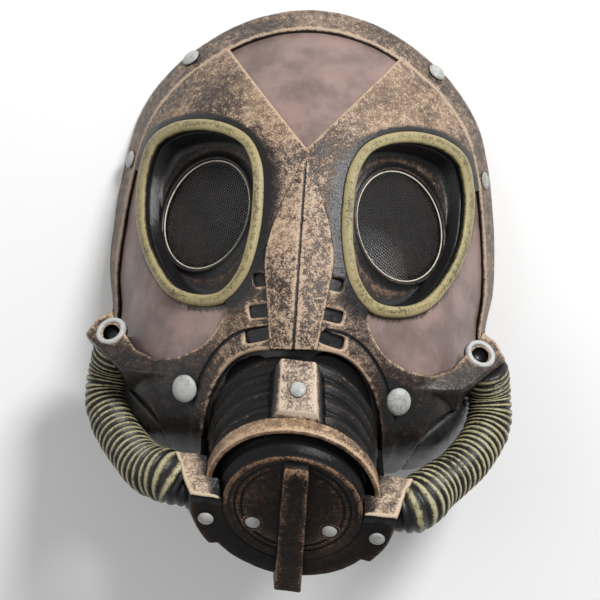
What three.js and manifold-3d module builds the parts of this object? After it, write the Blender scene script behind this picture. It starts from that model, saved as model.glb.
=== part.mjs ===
// A gas mask style costume mask lying face up on its rim: a hollow moulded face with metal plates, goggle eyes,
// a canister muzzle and two corrugated hoses. Millimetres. +Z is the way the face looks, +Y is the top of the head,
// and +X is the right-hand side of the picture.
import * as THREE from "three";
import { mergeVertices } from "three/addons/utils/BufferGeometryUtils.js";
import Module from "manifold-3d";

const wasm = await Module();
wasm.setup();

// Face shell
const faceHalfWidth = 102;
const faceHalfLength = 150;
const faceDepth = 88;
const shellWall = 2.5;
const noseRise = 20;
const noseSpread = 28;
const noseTop = 62;
const noseRun = 85;
const fitGap = 0.35;
const seating = 1.5;

// Rim band and plates
const bandWidth = 18;
const bandThickness = 2.2;
const bandClear = 0.8;
const plateThickness = 2;
const padThickness = 1.6;
const ridgeThickness = 3;

// Goggle eyes
const eyeCentreX = faceHalfWidth * 0.505;
const eyeCentreY = faceHalfLength * 0.33;
const eyeHalfWidth = faceHalfWidth * 0.3314;
const eyeHalfHeight = faceHalfLength * 0.2933;
const frameWidth = 5.4;
const frameHeight = 3.4;
const socketDepth = 8.5;
const socketWall = 2;
const socketTaper = 1.8;
const meshRadius = eyeHalfWidth * 0.84;
const meshShiftOut = 2;
const meshShiftDown = 2.6;
const meshThickness = 0.8;
const meshRingWire = 1.1;

// Muzzle: its own axes start at the middle of the canister's front
const muzzleY = -80;
const muzzleZ = 127;
const muzzlePitch = 30;
const muzzleLean = -3.3;
const muzzleDrift = 0.118;
const muzzleTwist = -1;
const muzzleReach = 72;
const canisterRadius = 32.8;
const canisterWall = 2.5;
const canisterRimWidth = 2.6;
const canisterRimHeight = 1.6;
const collarRadius = 41;
const collarThickness = 2.6;
const collarLength = 8.8;
const collarSetBack = 9.6;
const bellowsLength = 57;
const bellowsFoldShare = 0.6;
const bellowsFlange = 3;
const bellowsBaseHalfWidth = 42;
const bellowsBaseTop = 50.5;
const bellowsFrontRadius = collarRadius - 1.5;
const bellowsUnderRadius = collarRadius - 3;
const bellowsFolds = 4;
const bellowsFoldDepth = 2;
const bellowsWall = 2.5;
const archClearance = 1;
const guardRadius = collarRadius + 3.3;
const guardDepth = 66;
const earRadius = collarRadius + 7;
const earFlare = 0.39;
const earSpread = 38;
const earDepth = 21;
const earFrontRise = 2.8;
const earBackRise = 8.8;
const earTopDrop = 1;
const barWidth = 12;
const barHeight = 7;
const barTop = 30.6;
const barBottom = 48;
const strapBaseWidth = 28;
const strapFaceWidth = 18;
const strapTopWidth = 16.4;
const strapHeight = 9;
const strapLength = 22.5;
const strapFrontRise = 4;
const strapBackRise = 6.5;

// Wings, eyelets and hoses
const wingCrestX = faceHalfWidth * 0.853;
const wingCrestY = faceHalfLength * -0.187;
const wingCrestZ = 77;
const wingThickness = 10;
const wingSlopeOut = 0.437;
const wingSlopeUp = 0.896;
const wingUnderSlope = 1.1;
const eyeletX = faceHalfWidth * 0.892;
const eyeletY = faceHalfLength * -0.09;
const eyeletRadius = 8.2;
const eyeletBore = 4.9;
const eyeletHeight = 2.4;
const hoseRadius = 11.3;
const hoseEndRadius = 13;
const hoseRibDepth = 1;
const hoseRibs = 20;
const hoseSides = 8;

// Rivets: head radii
const cheekRivetRadius = 6.6;
const bandRivetRadius = 5;
const smallRivetRadius = 3.8;
const rivetDome = 0.42;
// Places of the face's rivets, as shares of its half width and half length.
const cheekRivetPlace = { across: 0.498, up: -0.223 };
const topRivetPlace = { across: 0.606, up: 0.81 };
const sideRivetPlace = { across: 0.875, up: 0.46 };

// Mesh fineness
const sectors = 36;
const rings = 8;
const eyePoints = 24;
const roundSides = 24;
const rivetSides = 12;

// Rim of the face as shares of the half width and half length, by the angle above the X axis, with the
// squareness of the fall from the middle of the face to the rim.
const rimTable = [
  { angle: -90, reach: 0.7, squareness: 4 },
  { angle: -70, reach: 0.705, squareness: 4.6 },
  { angle: -50, reach: 0.765, squareness: 6.5 },
  { angle: -38, reach: 0.87, squareness: 8 },
  { angle: -30, reach: 0.945, squareness: 8.6 },
  { angle: -22, reach: 0.98, squareness: 8 },
  { angle: -14, reach: 0.98, squareness: 6.8 },
  { angle: -4, reach: 0.95, squareness: 4.8 },
  { angle: 4, reach: 0.975, squareness: 3.7 },
  { angle: 14, reach: 0.992, squareness: 3.1 },
  { angle: 25, reach: 1.02, squareness: 2.9 },
  { angle: 37, reach: 1.055, squareness: 2.8 },
  { angle: 48, reach: 1.046, squareness: 2.7 },
  { angle: 60, reach: 1.022, squareness: 2.6 },
  { angle: 75, reach: 1.005, squareness: 2.6 },
  { angle: 90, reach: 1, squareness: 2.6 },
];

// Outer edge of the right eye frame, as shares of its half width and half height.
const eyeTable = [
  { across: 0, up: 1 },
  { across: 0.45, up: 0.93 },
  { across: 0.8, up: 0.75 },
  { across: 0.97, up: 0.42 },
  { across: 1, up: 0.05 },
  { across: 0.93, up: -0.3 },
  { across: 0.7, up: -0.65 },
  { across: 0.32, up: -0.93 },
  { across: -0.14, up: -1 },
  { across: -0.54, up: -0.92 },
  { across: -0.83, up: -0.64 },
  { across: -0.97, up: -0.24 },
  { across: -1, up: 0.2 },
  { across: -0.94, up: 0.58 },
  { across: -0.74, up: 0.84 },
  { across: -0.4, up: 0.97 },
];

// Right half of the face plate below the brow, as shares of the face's half width and half length.
const plateEdgeTable = [
  { across: 0.6, up: 0.33 },
  { across: 0.31, up: 0.06 },
  { across: 0.35, up: -0.015 },
  { across: 0.42, up: -0.08 },
  { across: 0.53, up: -0.126 },
  { across: 0.65, up: -0.146 },
  { across: 0.65, up: -0.312 },
  { across: 0.605, up: -0.337 },
  { across: 0.56, up: -0.39 },
  { across: 0.535, up: -0.44 },
  { across: 0.52, up: -0.52 },
  { across: 0.3, up: -0.52 },
];
const browTip = 0.553;
const browCornerAcross = 0.44;
const browCornerUp = 0.868;
const leatherTop = 0.475;

// Right half of the nose ridge, a kite from the tip of the brow panel to the arch over the muzzle.
const ridgeTable = [
  { across: 0.012, up: 0.535 },
  { across: 0.07, up: 0.44 },
  { across: 0.125, up: 0.33 },
  { across: 0.158, up: 0.21 },
  { across: 0.128, up: 0.1 },
  { across: 0.09, up: -0.075 },
];

// Right jaw pad, between the wing, the plate's leg and the hose.
const padTable = [
  { across: 0.56, up: -0.505 },
  { across: 0.555, up: -0.445 },
  { across: 0.58, up: -0.395 },
  { across: 0.63, up: -0.345 },
  { across: 0.72, up: -0.295 },
  { across: 0.83, up: -0.26 },
  { across: 0.925, up: -0.275 },
  { across: 0.92, up: -0.36 },
  { across: 0.82, up: -0.45 },
  { across: 0.68, up: -0.52 },
];

// Right wing seen from the front.
const wingTable = [
  { across: 0.662, up: -0.145 },
  { across: 0.75, up: -0.125 },
  { across: 0.84, up: -0.075 },
  { across: 0.905, up: -0.03 },
  { across: 0.96, up: -0.05 },
  { across: 1.002, up: -0.106 },
  { across: 1.005, up: -0.165 },
  { across: 0.925, up: -0.245 },
  { across: 0.87, up: -0.262 },
  { across: 0.78, up: -0.25 },
  { across: 0.7, up: -0.285 },
  { across: 0.662, up: -0.31 },
];

// Louvre slots beside the nose ridge, each a slanted bar: its middle, length, width and slope.
const louvreTable = [
  { across: 0.165, up: 0.142, length: 7, width: 6, slope: -12 },
  { across: 0.165, up: 0.047, length: 9.5, width: 6, slope: -14 },
  { across: 0.165, up: -0.027, length: 12, width: 6.2, slope: -18 },
];

// Middle line of the right hose from under the wing to the ear of the muzzle. Both lean with the muzzle.
const hoseLean = 3;
const hoseRoute = [
  [92, -20, 57],
  [95, -33, 51],
  [96.3, -44, 52.5],
  [94.8, -52, 57.5],
  [88.5, -60.5, 69],
  [79.5, -67.3, 84],
  [69, -72.3, 98],
];

const materials = {
  leather: new THREE.MeshStandardMaterial({ color: 0x6b4a42, roughness: 0.5 }),
  bronze: new THREE.MeshStandardMaterial({ color: 0x8a6545, roughness: 0.5, metalness: 0.4 }),
  copper: new THREE.MeshStandardMaterial({ color: 0x6e4630, roughness: 0.5, metalness: 0.4 }),
  brass: new THREE.MeshStandardMaterial({ color: 0xa08a4e, roughness: 0.45, metalness: 0.3 }),
  black: new THREE.MeshStandardMaterial({ color: 0x1b1a1c, roughness: 0.5 }),
  mesh: new THREE.MeshStandardMaterial({ color: 0x2c2624, roughness: 0.6, metalness: 0.5 }),
  silver: new THREE.MeshStandardMaterial({ color: 0xc9c9c4, roughness: 0.4, metalness: 0.5 }),
  hose: new THREE.MeshStandardMaterial({ color: 0x7d7450, roughness: 0.5 }),
};

const radians = THREE.MathUtils.degToRad;
const smooth = (t) => {
  const c = Math.min(Math.max(t, 0), 1);
  return c * c * (3 - 2 * c);
};

// Value of a table's column at a key between two rows, on a smooth curve through the rows.
function tableAt(table, key, column, at) {
  const last = table.length - 1;
  let i = 0;
  while (i < last - 1 && table[i + 1][key] < at) i++;
  const row = (n) => table[Math.min(Math.max(n, 0), last)];
  const slope = (n) => {
    const run = row(n + 1)[key] - row(n - 1)[key];
    return n <= 0 || n >= last ? 0 : (row(n + 1)[column] - row(n - 1)[column]) / run;
  };
  const span = row(i + 1)[key] - row(i)[key];
  const t = Math.min(Math.max((at - row(i)[key]) / span, 0), 1);
  const a = row(i)[column];
  const b = row(i + 1)[column];
  const hermite = [2 * t ** 3 - 3 * t ** 2 + 1, t ** 3 - 2 * t ** 2 + t, 3 * t ** 2 - 2 * t ** 3, t ** 3 - t ** 2];
  return hermite[0] * a + hermite[1] * slope(i) * span + hermite[2] * b + hermite[3] * slope(i + 1) * span;
}

// Height of the face above the rim plane.
function faceHeight(x, y) {
  const across = Math.abs(x) / faceHalfWidth;
  const up = y / faceHalfLength;
  const angle = THREE.MathUtils.radToDeg(Math.atan2(up, across));
  const share = Math.hypot(across, up) / tableAt(rimTable, "angle", "reach", angle);
  const dome = 1 - share ** tableAt(rimTable, "angle", "squareness", angle);
  const nose = Math.exp(-((x / noseSpread) ** 2)) * smooth((noseTop - y) / noseRun);
  return faceDepth * dome + noseRise * nose * (1 - Math.min(share, 1) ** 4);
}

// Point of the face over (x, y), moved outwards along the face's normal.
function facePoint(x, y, offset = 0) {
  const step = 0.5;
  const slopeX = (faceHeight(x + step, y) - faceHeight(x - step, y)) / (2 * step);
  const slopeY = (faceHeight(x, y + step) - faceHeight(x, y - step)) / (2 * step);
  const normal = new THREE.Vector3(-slopeX, -slopeY, 1).normalize();
  const point = new THREE.Vector3(x, y, faceHeight(x, y)).addScaledVector(normal, offset);
  return { point, normal };
}

// Rim point in plan at an angle of the normalised face, at a share of the way out.
function rimPlan(angle, share = 1) {
  const folded = THREE.MathUtils.radToDeg(Math.asin(Math.sin(radians(angle))));
  const reach = share * tableAt(rimTable, "angle", "reach", folded);
  return new THREE.Vector2(
    faceHalfWidth * reach * Math.cos(radians(angle)),
    faceHalfLength * reach * Math.sin(radians(angle)),
  );
}

// A closed geometry as a solid that can be joined and cut, and a solid as a geometry.
function toSolid(geometry) {
  const bare = geometry.clone();
  for (const name of ["normal", "uv"]) bare.deleteAttribute(name);
  const merged = mergeVertices(bare, 1e-4);
  return new wasm.Manifold(
    new wasm.Mesh({
      numProp: 3,
      vertProperties: merged.attributes.position.array,
      triVerts: new Uint32Array(merged.index.array),
    }),
  );
}
function toGeometry(solid) {
  const mesh = solid.getMesh();
  const geometry = new THREE.BufferGeometry();
  geometry.setAttribute("position", new THREE.BufferAttribute(mesh.vertProperties, 3));
  geometry.setIndex(new THREE.BufferAttribute(mesh.triVerts, 1));
  return geometry;
}

// Solid through loops of points. A tube joins its last loop to its first; otherwise both ends are capped.
function loft(loops, tube = false) {
  const count = loops[0].length;
  const points = loops.flat();
  const index = [];
  const bands = tube ? loops.length : loops.length - 1;
  for (let i = 0; i < bands; i++) {
    const next = (i + 1) % loops.length;
    for (let j = 0; j < count; j++) {
      const k = (j + 1) % count;
      const [a, b] = [i * count + j, i * count + k];
      const [c, d] = [next * count + j, next * count + k];
      const left = points[a].x + points[b].x + points[c].x + points[d].x < 0;
      index.push(...(left ? [a, b, c, b, d, c] : [a, b, d, a, d, c]));
    }
  }
  if (!tube) {
    for (const [i, turn] of [[0, 1], [loops.length - 1, -1]]) {
      const middle = new THREE.Vector3();
      for (const p of loops[i]) middle.addScaledVector(p, 1 / count);
      points.push(middle);
      for (let j = 0; j < count; j++) {
        const [a, b] = [i * count + j, i * count + ((j + 1) % count)];
        index.push(points.length - 1, ...(turn > 0 ? [b, a] : [a, b]));
      }
    }
  }
  const geometry = new THREE.BufferGeometry().setFromPoints(points);
  geometry.setIndex(index);
  const solid = toSolid(geometry);
  if (solid.volume() >= 0) return solid;
  for (let i = 0; i < index.length; i += 3) [index[i + 1], index[i + 2]] = [index[i + 2], index[i + 1]];
  geometry.setIndex(index);
  return toSolid(geometry);
}

// Straight prism over a closed plan outline.
function prism(outline, low = -60, high = 220) {
  const shape = new THREE.Shape(outline.map((p) => new THREE.Vector2(p.x, p.y)));
  const geometry = new THREE.ExtrudeGeometry(shape, { depth: high - low, bevelEnabled: false });
  return toSolid(geometry.translate(0, 0, low));
}
const mirrored = (points) => points.map((p) => new THREE.Vector2(-p.x, p.y)).reverse();
const planOf = (row) => new THREE.Vector2(row.across * faceHalfWidth, row.up * faceHalfLength);
const smoothClosed = (points, count) => {
  const curve = new THREE.CatmullRomCurve3(points.map((p) => new THREE.Vector3(p.x, p.y, 0)), true);
  return Array.from({ length: count }, (_, i) => curve.getPoint(i / count));
};

// Everything under the face moved outwards by an offset, down to well below the rim.
const volumes = new Map();
function underFace(offset) {
  if (volumes.has(offset)) return volumes.get(offset);
  const loops = [];
  for (let r = 1; r <= rings; r++) {
    const share = Math.sin((Math.PI / 2) * (r / rings));
    loops.push(
      Array.from({ length: sectors }, (_, s) => {
        const plan = rimPlan((360 * s) / sectors, share);
        return facePoint(plan.x, plan.y, offset).point;
      }),
    );
  }
  loops.push(loops.at(-1).map((p) => new THREE.Vector3(p.x, p.y, -30)));
  const solid = loft(loops);
  volumes.set(offset, solid);
  return solid;
}
const block = (width, depth, height, x, y, z) =>
  toSolid(new THREE.BoxGeometry(width, depth, height).translate(x, y, z));
const wide = 600;
const belowRim = (level) => block(wide, wide, 100, 0, 0, level - 50);

// A sheet that follows the face inside a plan outline.
function skin(outline, gap, thickness) {
  const sheet = underFace(gap + thickness).subtract(underFace(gap));
  return sheet.intersect(prism(outline)).subtract(belowRim(fitGap));
}

// Eye: loops of its outline moved inwards, laid on the face, and the plane of its floor. The right eye is
// worked out, and the left one is its mirror image.
const eyeOutline = smoothClosed(
  eyeTable.map((row) => new THREE.Vector2(eyeCentreX + row.across * eyeHalfWidth, eyeCentreY + row.up * eyeHalfHeight)),
  eyePoints,
);
function eyeLoop(inset) {
  return eyeOutline.map((p, i) => {
    const before = eyeOutline.at(i - 1);
    const after = eyeOutline[(i + 1) % eyePoints];
    const along = after.clone().sub(before).normalize();
    const x = p.x + along.y * -inset;
    const y = p.y + along.x * inset;
    const inward = Math.hypot(x - eyeCentreX, y - eyeCentreY) < Math.hypot(p.x - eyeCentreX, p.y - eyeCentreY);
    const sign = inward === inset > 0 ? 1 : -1;
    return facePoint(p.x - along.y * inset * sign, p.y + along.x * inset * sign).point;
  });
}
const eyeNormal = (() => {
  const slopeX =
    (faceHeight(eyeCentreX + eyeHalfWidth, eyeCentreY) - faceHeight(eyeCentreX - eyeHalfWidth, eyeCentreY)) /
    (2 * eyeHalfWidth);
  const slopeY =
    (faceHeight(eyeCentreX, eyeCentreY + eyeHalfHeight) - faceHeight(eyeCentreX, eyeCentreY - eyeHalfHeight)) /
    (2 * eyeHalfHeight);
  return new THREE.Vector3(-slopeX, -slopeY, 1).normalize();
})();
const eyeFloor = (() => {
  const middle = new THREE.Vector3();
  for (const p of eyeLoop(0)) middle.addScaledVector(p, 1 / eyePoints);
  const outwards = new THREE.Vector3(1, 0, 0).projectOnPlane(eyeNormal).normalize();
  const downwards = new THREE.Vector3(0, -1, 0).projectOnPlane(eyeNormal).normalize();
  return middle
    .addScaledVector(eyeNormal, -socketDepth)
    .addScaledVector(outwards, meshShiftOut)
    .addScaledVector(downwards, meshShiftDown);
})();
const along = (loop, distance) => loop.map((p) => p.clone().addScaledVector(eyeNormal, distance));
const ontoFloor = (loop, drop = 0) =>
  loop.map((p) => p.clone().addScaledVector(eyeNormal, -p.clone().sub(eyeFloor).dot(eyeNormal) - drop));
const floorCircle = (loop, radius, drop = 0) =>
  ontoFloor(loop).map((p) =>
    p.sub(eyeFloor).setLength(radius).add(eyeFloor).addScaledVector(eyeNormal, -drop),
  );
const eyeTool = (inset) => loft([along(eyeLoop(inset), 20), along(eyeLoop(inset), -30)]);

function eyeFrame() {
  const [outer, inner] = [eyeLoop(0), eyeLoop(frameWidth)];
  const shoulder = frameHeight * 0.6;
  const solid = loft(
    [
      along(outer, -seating),
      along(outer, fitGap + shoulder),
      along(eyeLoop(frameWidth * 0.3), fitGap + frameHeight),
      along(eyeLoop(frameWidth * 0.75), fitGap + frameHeight),
      along(inner, fitGap + shoulder),
      along(inner, -seating),
    ],
    true,
  );
  return solid.subtract(underFace(fitGap));
}
const holeInset = 2.2;
function eyeSocket() {
  const outside = holeInset + fitGap;
  const inside = outside + socketWall;
  const foot = eyeLoop(inside + socketTaper);
  return loft(
    [
      along(eyeLoop(outside), -seating),
      along(eyeLoop(inside), -seating),
      ontoFloor(foot),
      floorCircle(foot, meshRadius),
      floorCircle(foot, meshRadius, socketWall),
      ontoFloor(eyeLoop(outside + socketTaper), socketWall),
    ],
    true,
  );
}
function meshRing() {
  const loop = eyeLoop(frameWidth);
  const [out, within] = [meshRadius - fitGap, meshRadius - fitGap - meshRingWire];
  return loft(
    [
      floorCircle(loop, out, -meshRingWire / 2),
      floorCircle(loop, within, -meshRingWire / 2),
      floorCircle(loop, within, meshRingWire / 2),
      floorCircle(loop, out, meshRingWire / 2),
    ],
    true,
  );
}
function eyeMesh() {
  const loop = eyeLoop(frameWidth);
  const top = socketWall + fitGap;
  const radius = meshRadius + socketWall;
  return loft([floorCircle(loop, radius, top), floorCircle(loop, radius, top + meshThickness)]);
}

// Muzzle axes: right runs along X, up lies in the canister's front, out points forwards and down. The soft
// muzzle drifts sideways from its root while its front turns the other way, so its axis is slanted to its front.
const muzzleStraight = new THREE.Vector3(0, -Math.sin(radians(muzzlePitch)), Math.cos(radians(muzzlePitch)));
const straightUp = new THREE.Vector3(0, Math.cos(radians(muzzlePitch)), Math.sin(radians(muzzlePitch)));
const muzzleOut = muzzleStraight.clone().applyAxisAngle(straightUp, radians(muzzleLean));
const muzzleUp = straightUp.clone().applyAxisAngle(muzzleOut, radians(muzzleTwist));
const muzzleRight = muzzleUp.clone().cross(muzzleOut);
const muzzleAxis = muzzleOut.clone().addScaledVector(muzzleRight, muzzleDrift);
const muzzleFront = new THREE.Vector3(0, muzzleY, muzzleZ)
  .addScaledVector(muzzleStraight, -muzzleReach)
  .addScaledVector(muzzleAxis, muzzleReach);
const muzzleMatrix = new THREE.Matrix4().makeBasis(muzzleRight, muzzleUp, muzzleAxis).setPosition(muzzleFront);
const inMuzzle = (right, up, out) => new THREE.Vector3(right, up, out).applyMatrix4(muzzleMatrix);

// Loop round the muzzle at a distance behind the canister's front.
function muzzleLoop(out, halfWidth, top, bottom = halfWidth) {
  return Array.from({ length: roundSides }, (_, i) => {
    const turn = (2 * Math.PI * i) / roundSides;
    const high = Math.sin(turn) > 0 ? top : bottom;
    return inMuzzle(halfWidth * Math.cos(turn), high * Math.sin(turn), out);
  });
}
const bellowsFront = -(collarSetBack + collarLength);
const bellowsBack = bellowsFront - bellowsLength;
function bellowsLoops(thinner) {
  const loops = [];
  const steps = bellowsFolds * 2 + 1;
  for (let i = 0; i <= steps; i++) {
    const share = Math.min(i / (steps - 1), 1);
    const out = i === steps ? bellowsBack : bellowsFront - share * bellowsLength * bellowsFoldShare;
    const fold = i % 2 ? bellowsFoldDepth : 0;
    const mix = (front, back) => front + (back - front) * share - fold - thinner;
    loops.push(
      muzzleLoop(
        out,
        mix(bellowsFrontRadius, bellowsBaseHalfWidth),
        mix(bellowsFrontRadius + 1, bellowsBaseTop),
        mix(bellowsUnderRadius, bellowsUnderRadius),
      ),
    );
  }
  return loops;
}
function bellows() {
  const bore = bellowsFrontRadius - bellowsFoldDepth - bellowsWall * 3;
  const outer = bellowsLoops(0);
  const inner = bellowsLoops(bellowsFoldDepth + bellowsWall);
  const throat = muzzleLoop(bellowsFront - bellowsFlange, bore + 2, bore + 2);
  const flange = [bellowsFront, bellowsFront - bellowsFlange].map((out) => muzzleLoop(out, bore, bore));
  const folded = loft([...flange.reverse(), ...outer, inner.at(-1), inner.at(-2), throat], true);
  return folded.subtract(underFace(fitGap));
}
// Room that the bellows takes, for what lies against it.
const bellowsFill = () => {
  const across = bellowsBaseHalfWidth + fitGap;
  const high = bellowsBaseTop + fitGap;
  return loft([
    muzzleLoop(bellowsBack, across, high),
    muzzleLoop(bellowsFront - bellowsLength * bellowsFoldShare, across, high),
    muzzleLoop(bellowsFront, bellowsFrontRadius + fitGap, bellowsFrontRadius + 1 + fitGap),
  ]);
};
const archTool = () =>
  loft(
    [bellowsBack - 20, bellowsFront + 20].map((out) =>
      muzzleLoop(
        out,
        bellowsBaseHalfWidth + archClearance,
        bellowsBaseTop + archClearance,
        bellowsBaseHalfWidth + archClearance,
      ),
    ),
  );

// Round tool about the muzzle's axis.
function muzzleRound(radius, back, front) {
  return loft([muzzleLoop(back, radius, radius), muzzleLoop(front, radius, radius)]);
}
const inMuzzleSolid = (geometry) => toSolid(geometry.applyMatrix4(muzzleMatrix));

// Canister: a cup with a raised rim and two engraved rings in its front, open behind.
function canister() {
  const back = bellowsFront + fitGap;
  const face = -canisterRimHeight;
  const inside = canisterRadius - canisterWall;
  const profile = [
    [0, face - canisterWall],
    [0, face],
    [canisterRadius * 0.74, face],
    [canisterRadius * 0.755, face - 0.8],
    [canisterRadius * 0.77, face],
    [canisterRadius - canisterRimWidth, face],
    [canisterRadius - canisterRimWidth, 0],
    [canisterRadius, 0],
    [canisterRadius, back],
    [inside, back],
    [inside, face - canisterWall],
  ];
  const points = profile.map(([radius, out]) => new THREE.Vector2(radius, out)).reverse();
  const turned = new THREE.LatheGeometry([...points, points[0]], roundSides).rotateX(Math.PI / 2);
  return inMuzzleSolid(turned);
}

// Collar: an arch of band round the canister from ear to ear.
function collar() {
  const [front, back] = [-collarSetBack, bellowsFront];
  const within = collarRadius - collarThickness;
  const ring = loft(
    [
      muzzleLoop(back, collarRadius, collarRadius),
      muzzleLoop(front, collarRadius, collarRadius),
      muzzleLoop(front, within, within),
      muzzleLoop(back + bellowsFlange, within, within),
      muzzleLoop(back + bellowsFlange, within + 1, within + 1),
      muzzleLoop(back, within + 1, within + 1),
    ].map((loop) => loop.map((p) => p.clone())),
    true,
  );
  return ring.subtract(bellowsFrontTool()).subtract(guard(fitGap)).subtract(earFill(1, fitGap)).subtract(earFill(-1, fitGap));
}
const bellowsFrontTool = () => {
  const reach = bellowsFrontRadius + 1 + fitGap;
  return muzzleRound(reach, bellowsBack, bellowsFront + fitGap);
};

// Guard: the chin shell round the lower half of the canister, with an ear at each side.
function guard(extra = 0) {
  const sector = (radius, spread, depth, flare) => {
    const arc = (reach, out) => {
      const outline = [];
      for (let turn = 0; turn >= -180; turn -= 6) {
        const fromSide = Math.min(-turn, 180 + turn);
        if (fromSide > spread) continue;
        const [x, y] = [reach * Math.cos(radians(turn)), reach * Math.sin(radians(turn))];
        outline.push(inMuzzle(x, y - earTopDrop + (fromSide ? -extra : extra), out));
      }
      return outline;
    };
    return loft([arc(radius + extra + flare * depth, -depth - extra), arc(radius + extra, extra)]);
  };
  return sector(guardRadius, 180, guardDepth, 0).add(sector(earRadius, earSpread, earDepth, earFlare));
}
function chinGuard() {
  const hollow = muzzleRound(canisterRadius + fitGap, bellowsFront - 2, 10);
  const behind = muzzleRound(bellowsUnderRadius + fitGap * 2, bellowsBack - 30, bellowsFront + fitGap);
  const sides = loft(
    [bellowsBack - 30, bellowsFront + fitGap].map((out) =>
      muzzleLoop(out, bellowsBaseHalfWidth + fitGap, bellowsBaseTop + fitGap, bellowsUnderRadius + fitGap * 2),
    ),
  );
  return guard().subtract(hollow).subtract(behind).subtract(sides).subtract(underFace(fitGap));
}

// Ear blocks: ledges on the guard's ears, rising and flaring outwards to the back, that carry the hoses.
function earFill(side, extra = 0) {
  const section = (right) =>
    [
      [-earTopDrop + fitGap - extra, 0],
      [earFrontRise + extra, 0],
      [earBackRise + extra, -earDepth],
      [-earTopDrop + fitGap - extra, -earDepth],
    ].map(([up, out]) => inMuzzle(side * right(out), up, out + (out ? -extra : extra)));
  return loft([section(() => canisterRadius - 5), section((out) => earRadius - earFlare * out + extra)]);
}
function ear(side) {
  const canisterFill = muzzleRound(canisterRadius + fitGap, bellowsFront - 10, 10);
  return earFill(side).subtract(canisterFill).subtract(bellowsFill());
}

function centreBar() {
  const outline = [
    [-barBottom, fitGap],
    [-barBottom, barHeight * 0.75],
    [-barBottom + 2, barHeight],
    [barTop - 8, barHeight],
    [barTop - 1, barHeight * 0.8],
    [barTop, fitGap],
  ];
  const half = barWidth / 2;
  return loft([-half, half].map((right) => outline.map(([up, out]) => inMuzzle(right, up, out))));
}

// Strap block: a short tapered bridge from the nose ridge to the collar.
function strapBlock() {
  const front = bellowsFront + 0.8;
  const back = front - strapLength;
  const section = (out, up, faceWidth, spread) =>
    [
      [-spread / 2, up - strapHeight],
      [-faceWidth / 2, up],
      [faceWidth / 2, up],
      [spread / 2, up - strapHeight],
    ].map(([right, height]) => inMuzzle(right, height, out));
  const solid = loft([
    section(back, bellowsBaseTop + strapBackRise, strapTopWidth, strapBaseWidth * 0.9),
    section(front, collarRadius + strapFrontRise, strapFaceWidth, strapBaseWidth),
  ]);
  const collarFill = muzzleRound(collarRadius + fitGap, bellowsFront - fitGap, 10);
  return solid.subtract(bellowsFill()).subtract(collarFill).subtract(underFace(plateThickness + ridgeThickness + fitGap * 3));
}

// Wing: an arm from the cheek to the eyelet, flat above and below, with a sloping underside.
const wingHeight = (x, y) => wingCrestZ - wingSlopeOut * (x - wingCrestX) - wingSlopeUp * (y - wingCrestY);
const wingNormal = new THREE.Vector3(wingSlopeOut, wingSlopeUp, 1).normalize();
function wingSlab(low, high) {
  const reach = 150;
  const corners = [[-1, -1], [1, -1], [1, 1], [-1, 1]].map(([i, j]) => [wingCrestX + i * reach, wingCrestY + j * reach]);
  return loft(
    [low, high].map((offset) =>
      corners.map(([x, y]) => new THREE.Vector3(x, y, wingHeight(x, y)).addScaledVector(wingNormal, offset)),
    ),
  );
}
const wingTool = () => {
  const middle = new THREE.Vector2(wingCrestX, wingCrestY);
  const grown = wingTable.map((row) => planOf(row).sub(middle).multiplyScalar(1.03).add(middle));
  return wingSlab(-wingThickness - fitGap, 60).intersect(prism(grown));
};
function wing() {
  const plate = wingSlab(-wingThickness, 0).intersect(prism(wingTable.map(planOf)));
  const reach = 120;
  const under = (x, y) => wingCrestZ - 0.3 * (x - wingCrestX) + wingUnderSlope * (y - wingCrestY);
  const corners = [[-1, -1], [1, -1], [1, 1], [-1, 1]].map(([i, j]) => [wingCrestX + i * reach, wingCrestY + j * reach]);
  const above = loft(
    [0, 300].map((lift) => corners.map(([x, y]) => new THREE.Vector3(x, y, under(x, y) + lift))),
  );
  return plate.subtract(above).subtract(underFace(fitGap));
}

// A round head or ring turned about a normal at a point.
function turned(profile, point, normal, sides) {
  const points = profile.map(([radius, height]) => new THREE.Vector2(radius, height));
  const geometry = new THREE.LatheGeometry([...points, points[0]], sides);
  const turn = new THREE.Quaternion().setFromUnitVectors(new THREE.Vector3(0, 1, 0), normal);
  return toSolid(geometry.applyQuaternion(turn).translate(point.x, point.y, point.z));
}
function rivet(point, normal, radius, sunk = 0) {
  const height = radius * rivetDome;
  return turned(
    [
      [0, -sunk],
      [radius, -sunk],
      [radius * 0.82, height * 0.62],
      [0, height],
    ],
    point.clone().addScaledVector(normal, fitGap),
    normal,
    rivetSides,
  );
}
function faceRivet(place, offset, radius) {
  const plan = planOf(place);
  const { point, normal } = facePoint(plan.x, plan.y, offset);
  return rivet(point, normal, radius, seating).subtract(underFace(offset + fitGap));
}
const eyeletPoint = () =>
  new THREE.Vector3(eyeletX, eyeletY, wingHeight(eyeletX, eyeletY)).addScaledVector(wingNormal, fitGap);
function eyelet() {
  return turned(
    [
      [eyeletBore, 0],
      [eyeletRadius, 0],
      [eyeletRadius * 0.92, eyeletHeight * 0.8],
      [eyeletRadius * 0.78, eyeletHeight],
      [eyeletBore * 1.12, eyeletHeight],
      [eyeletBore, eyeletHeight * 0.7],
    ],
    eyeletPoint(),
    wingNormal,
    14,
  );
}

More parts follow.
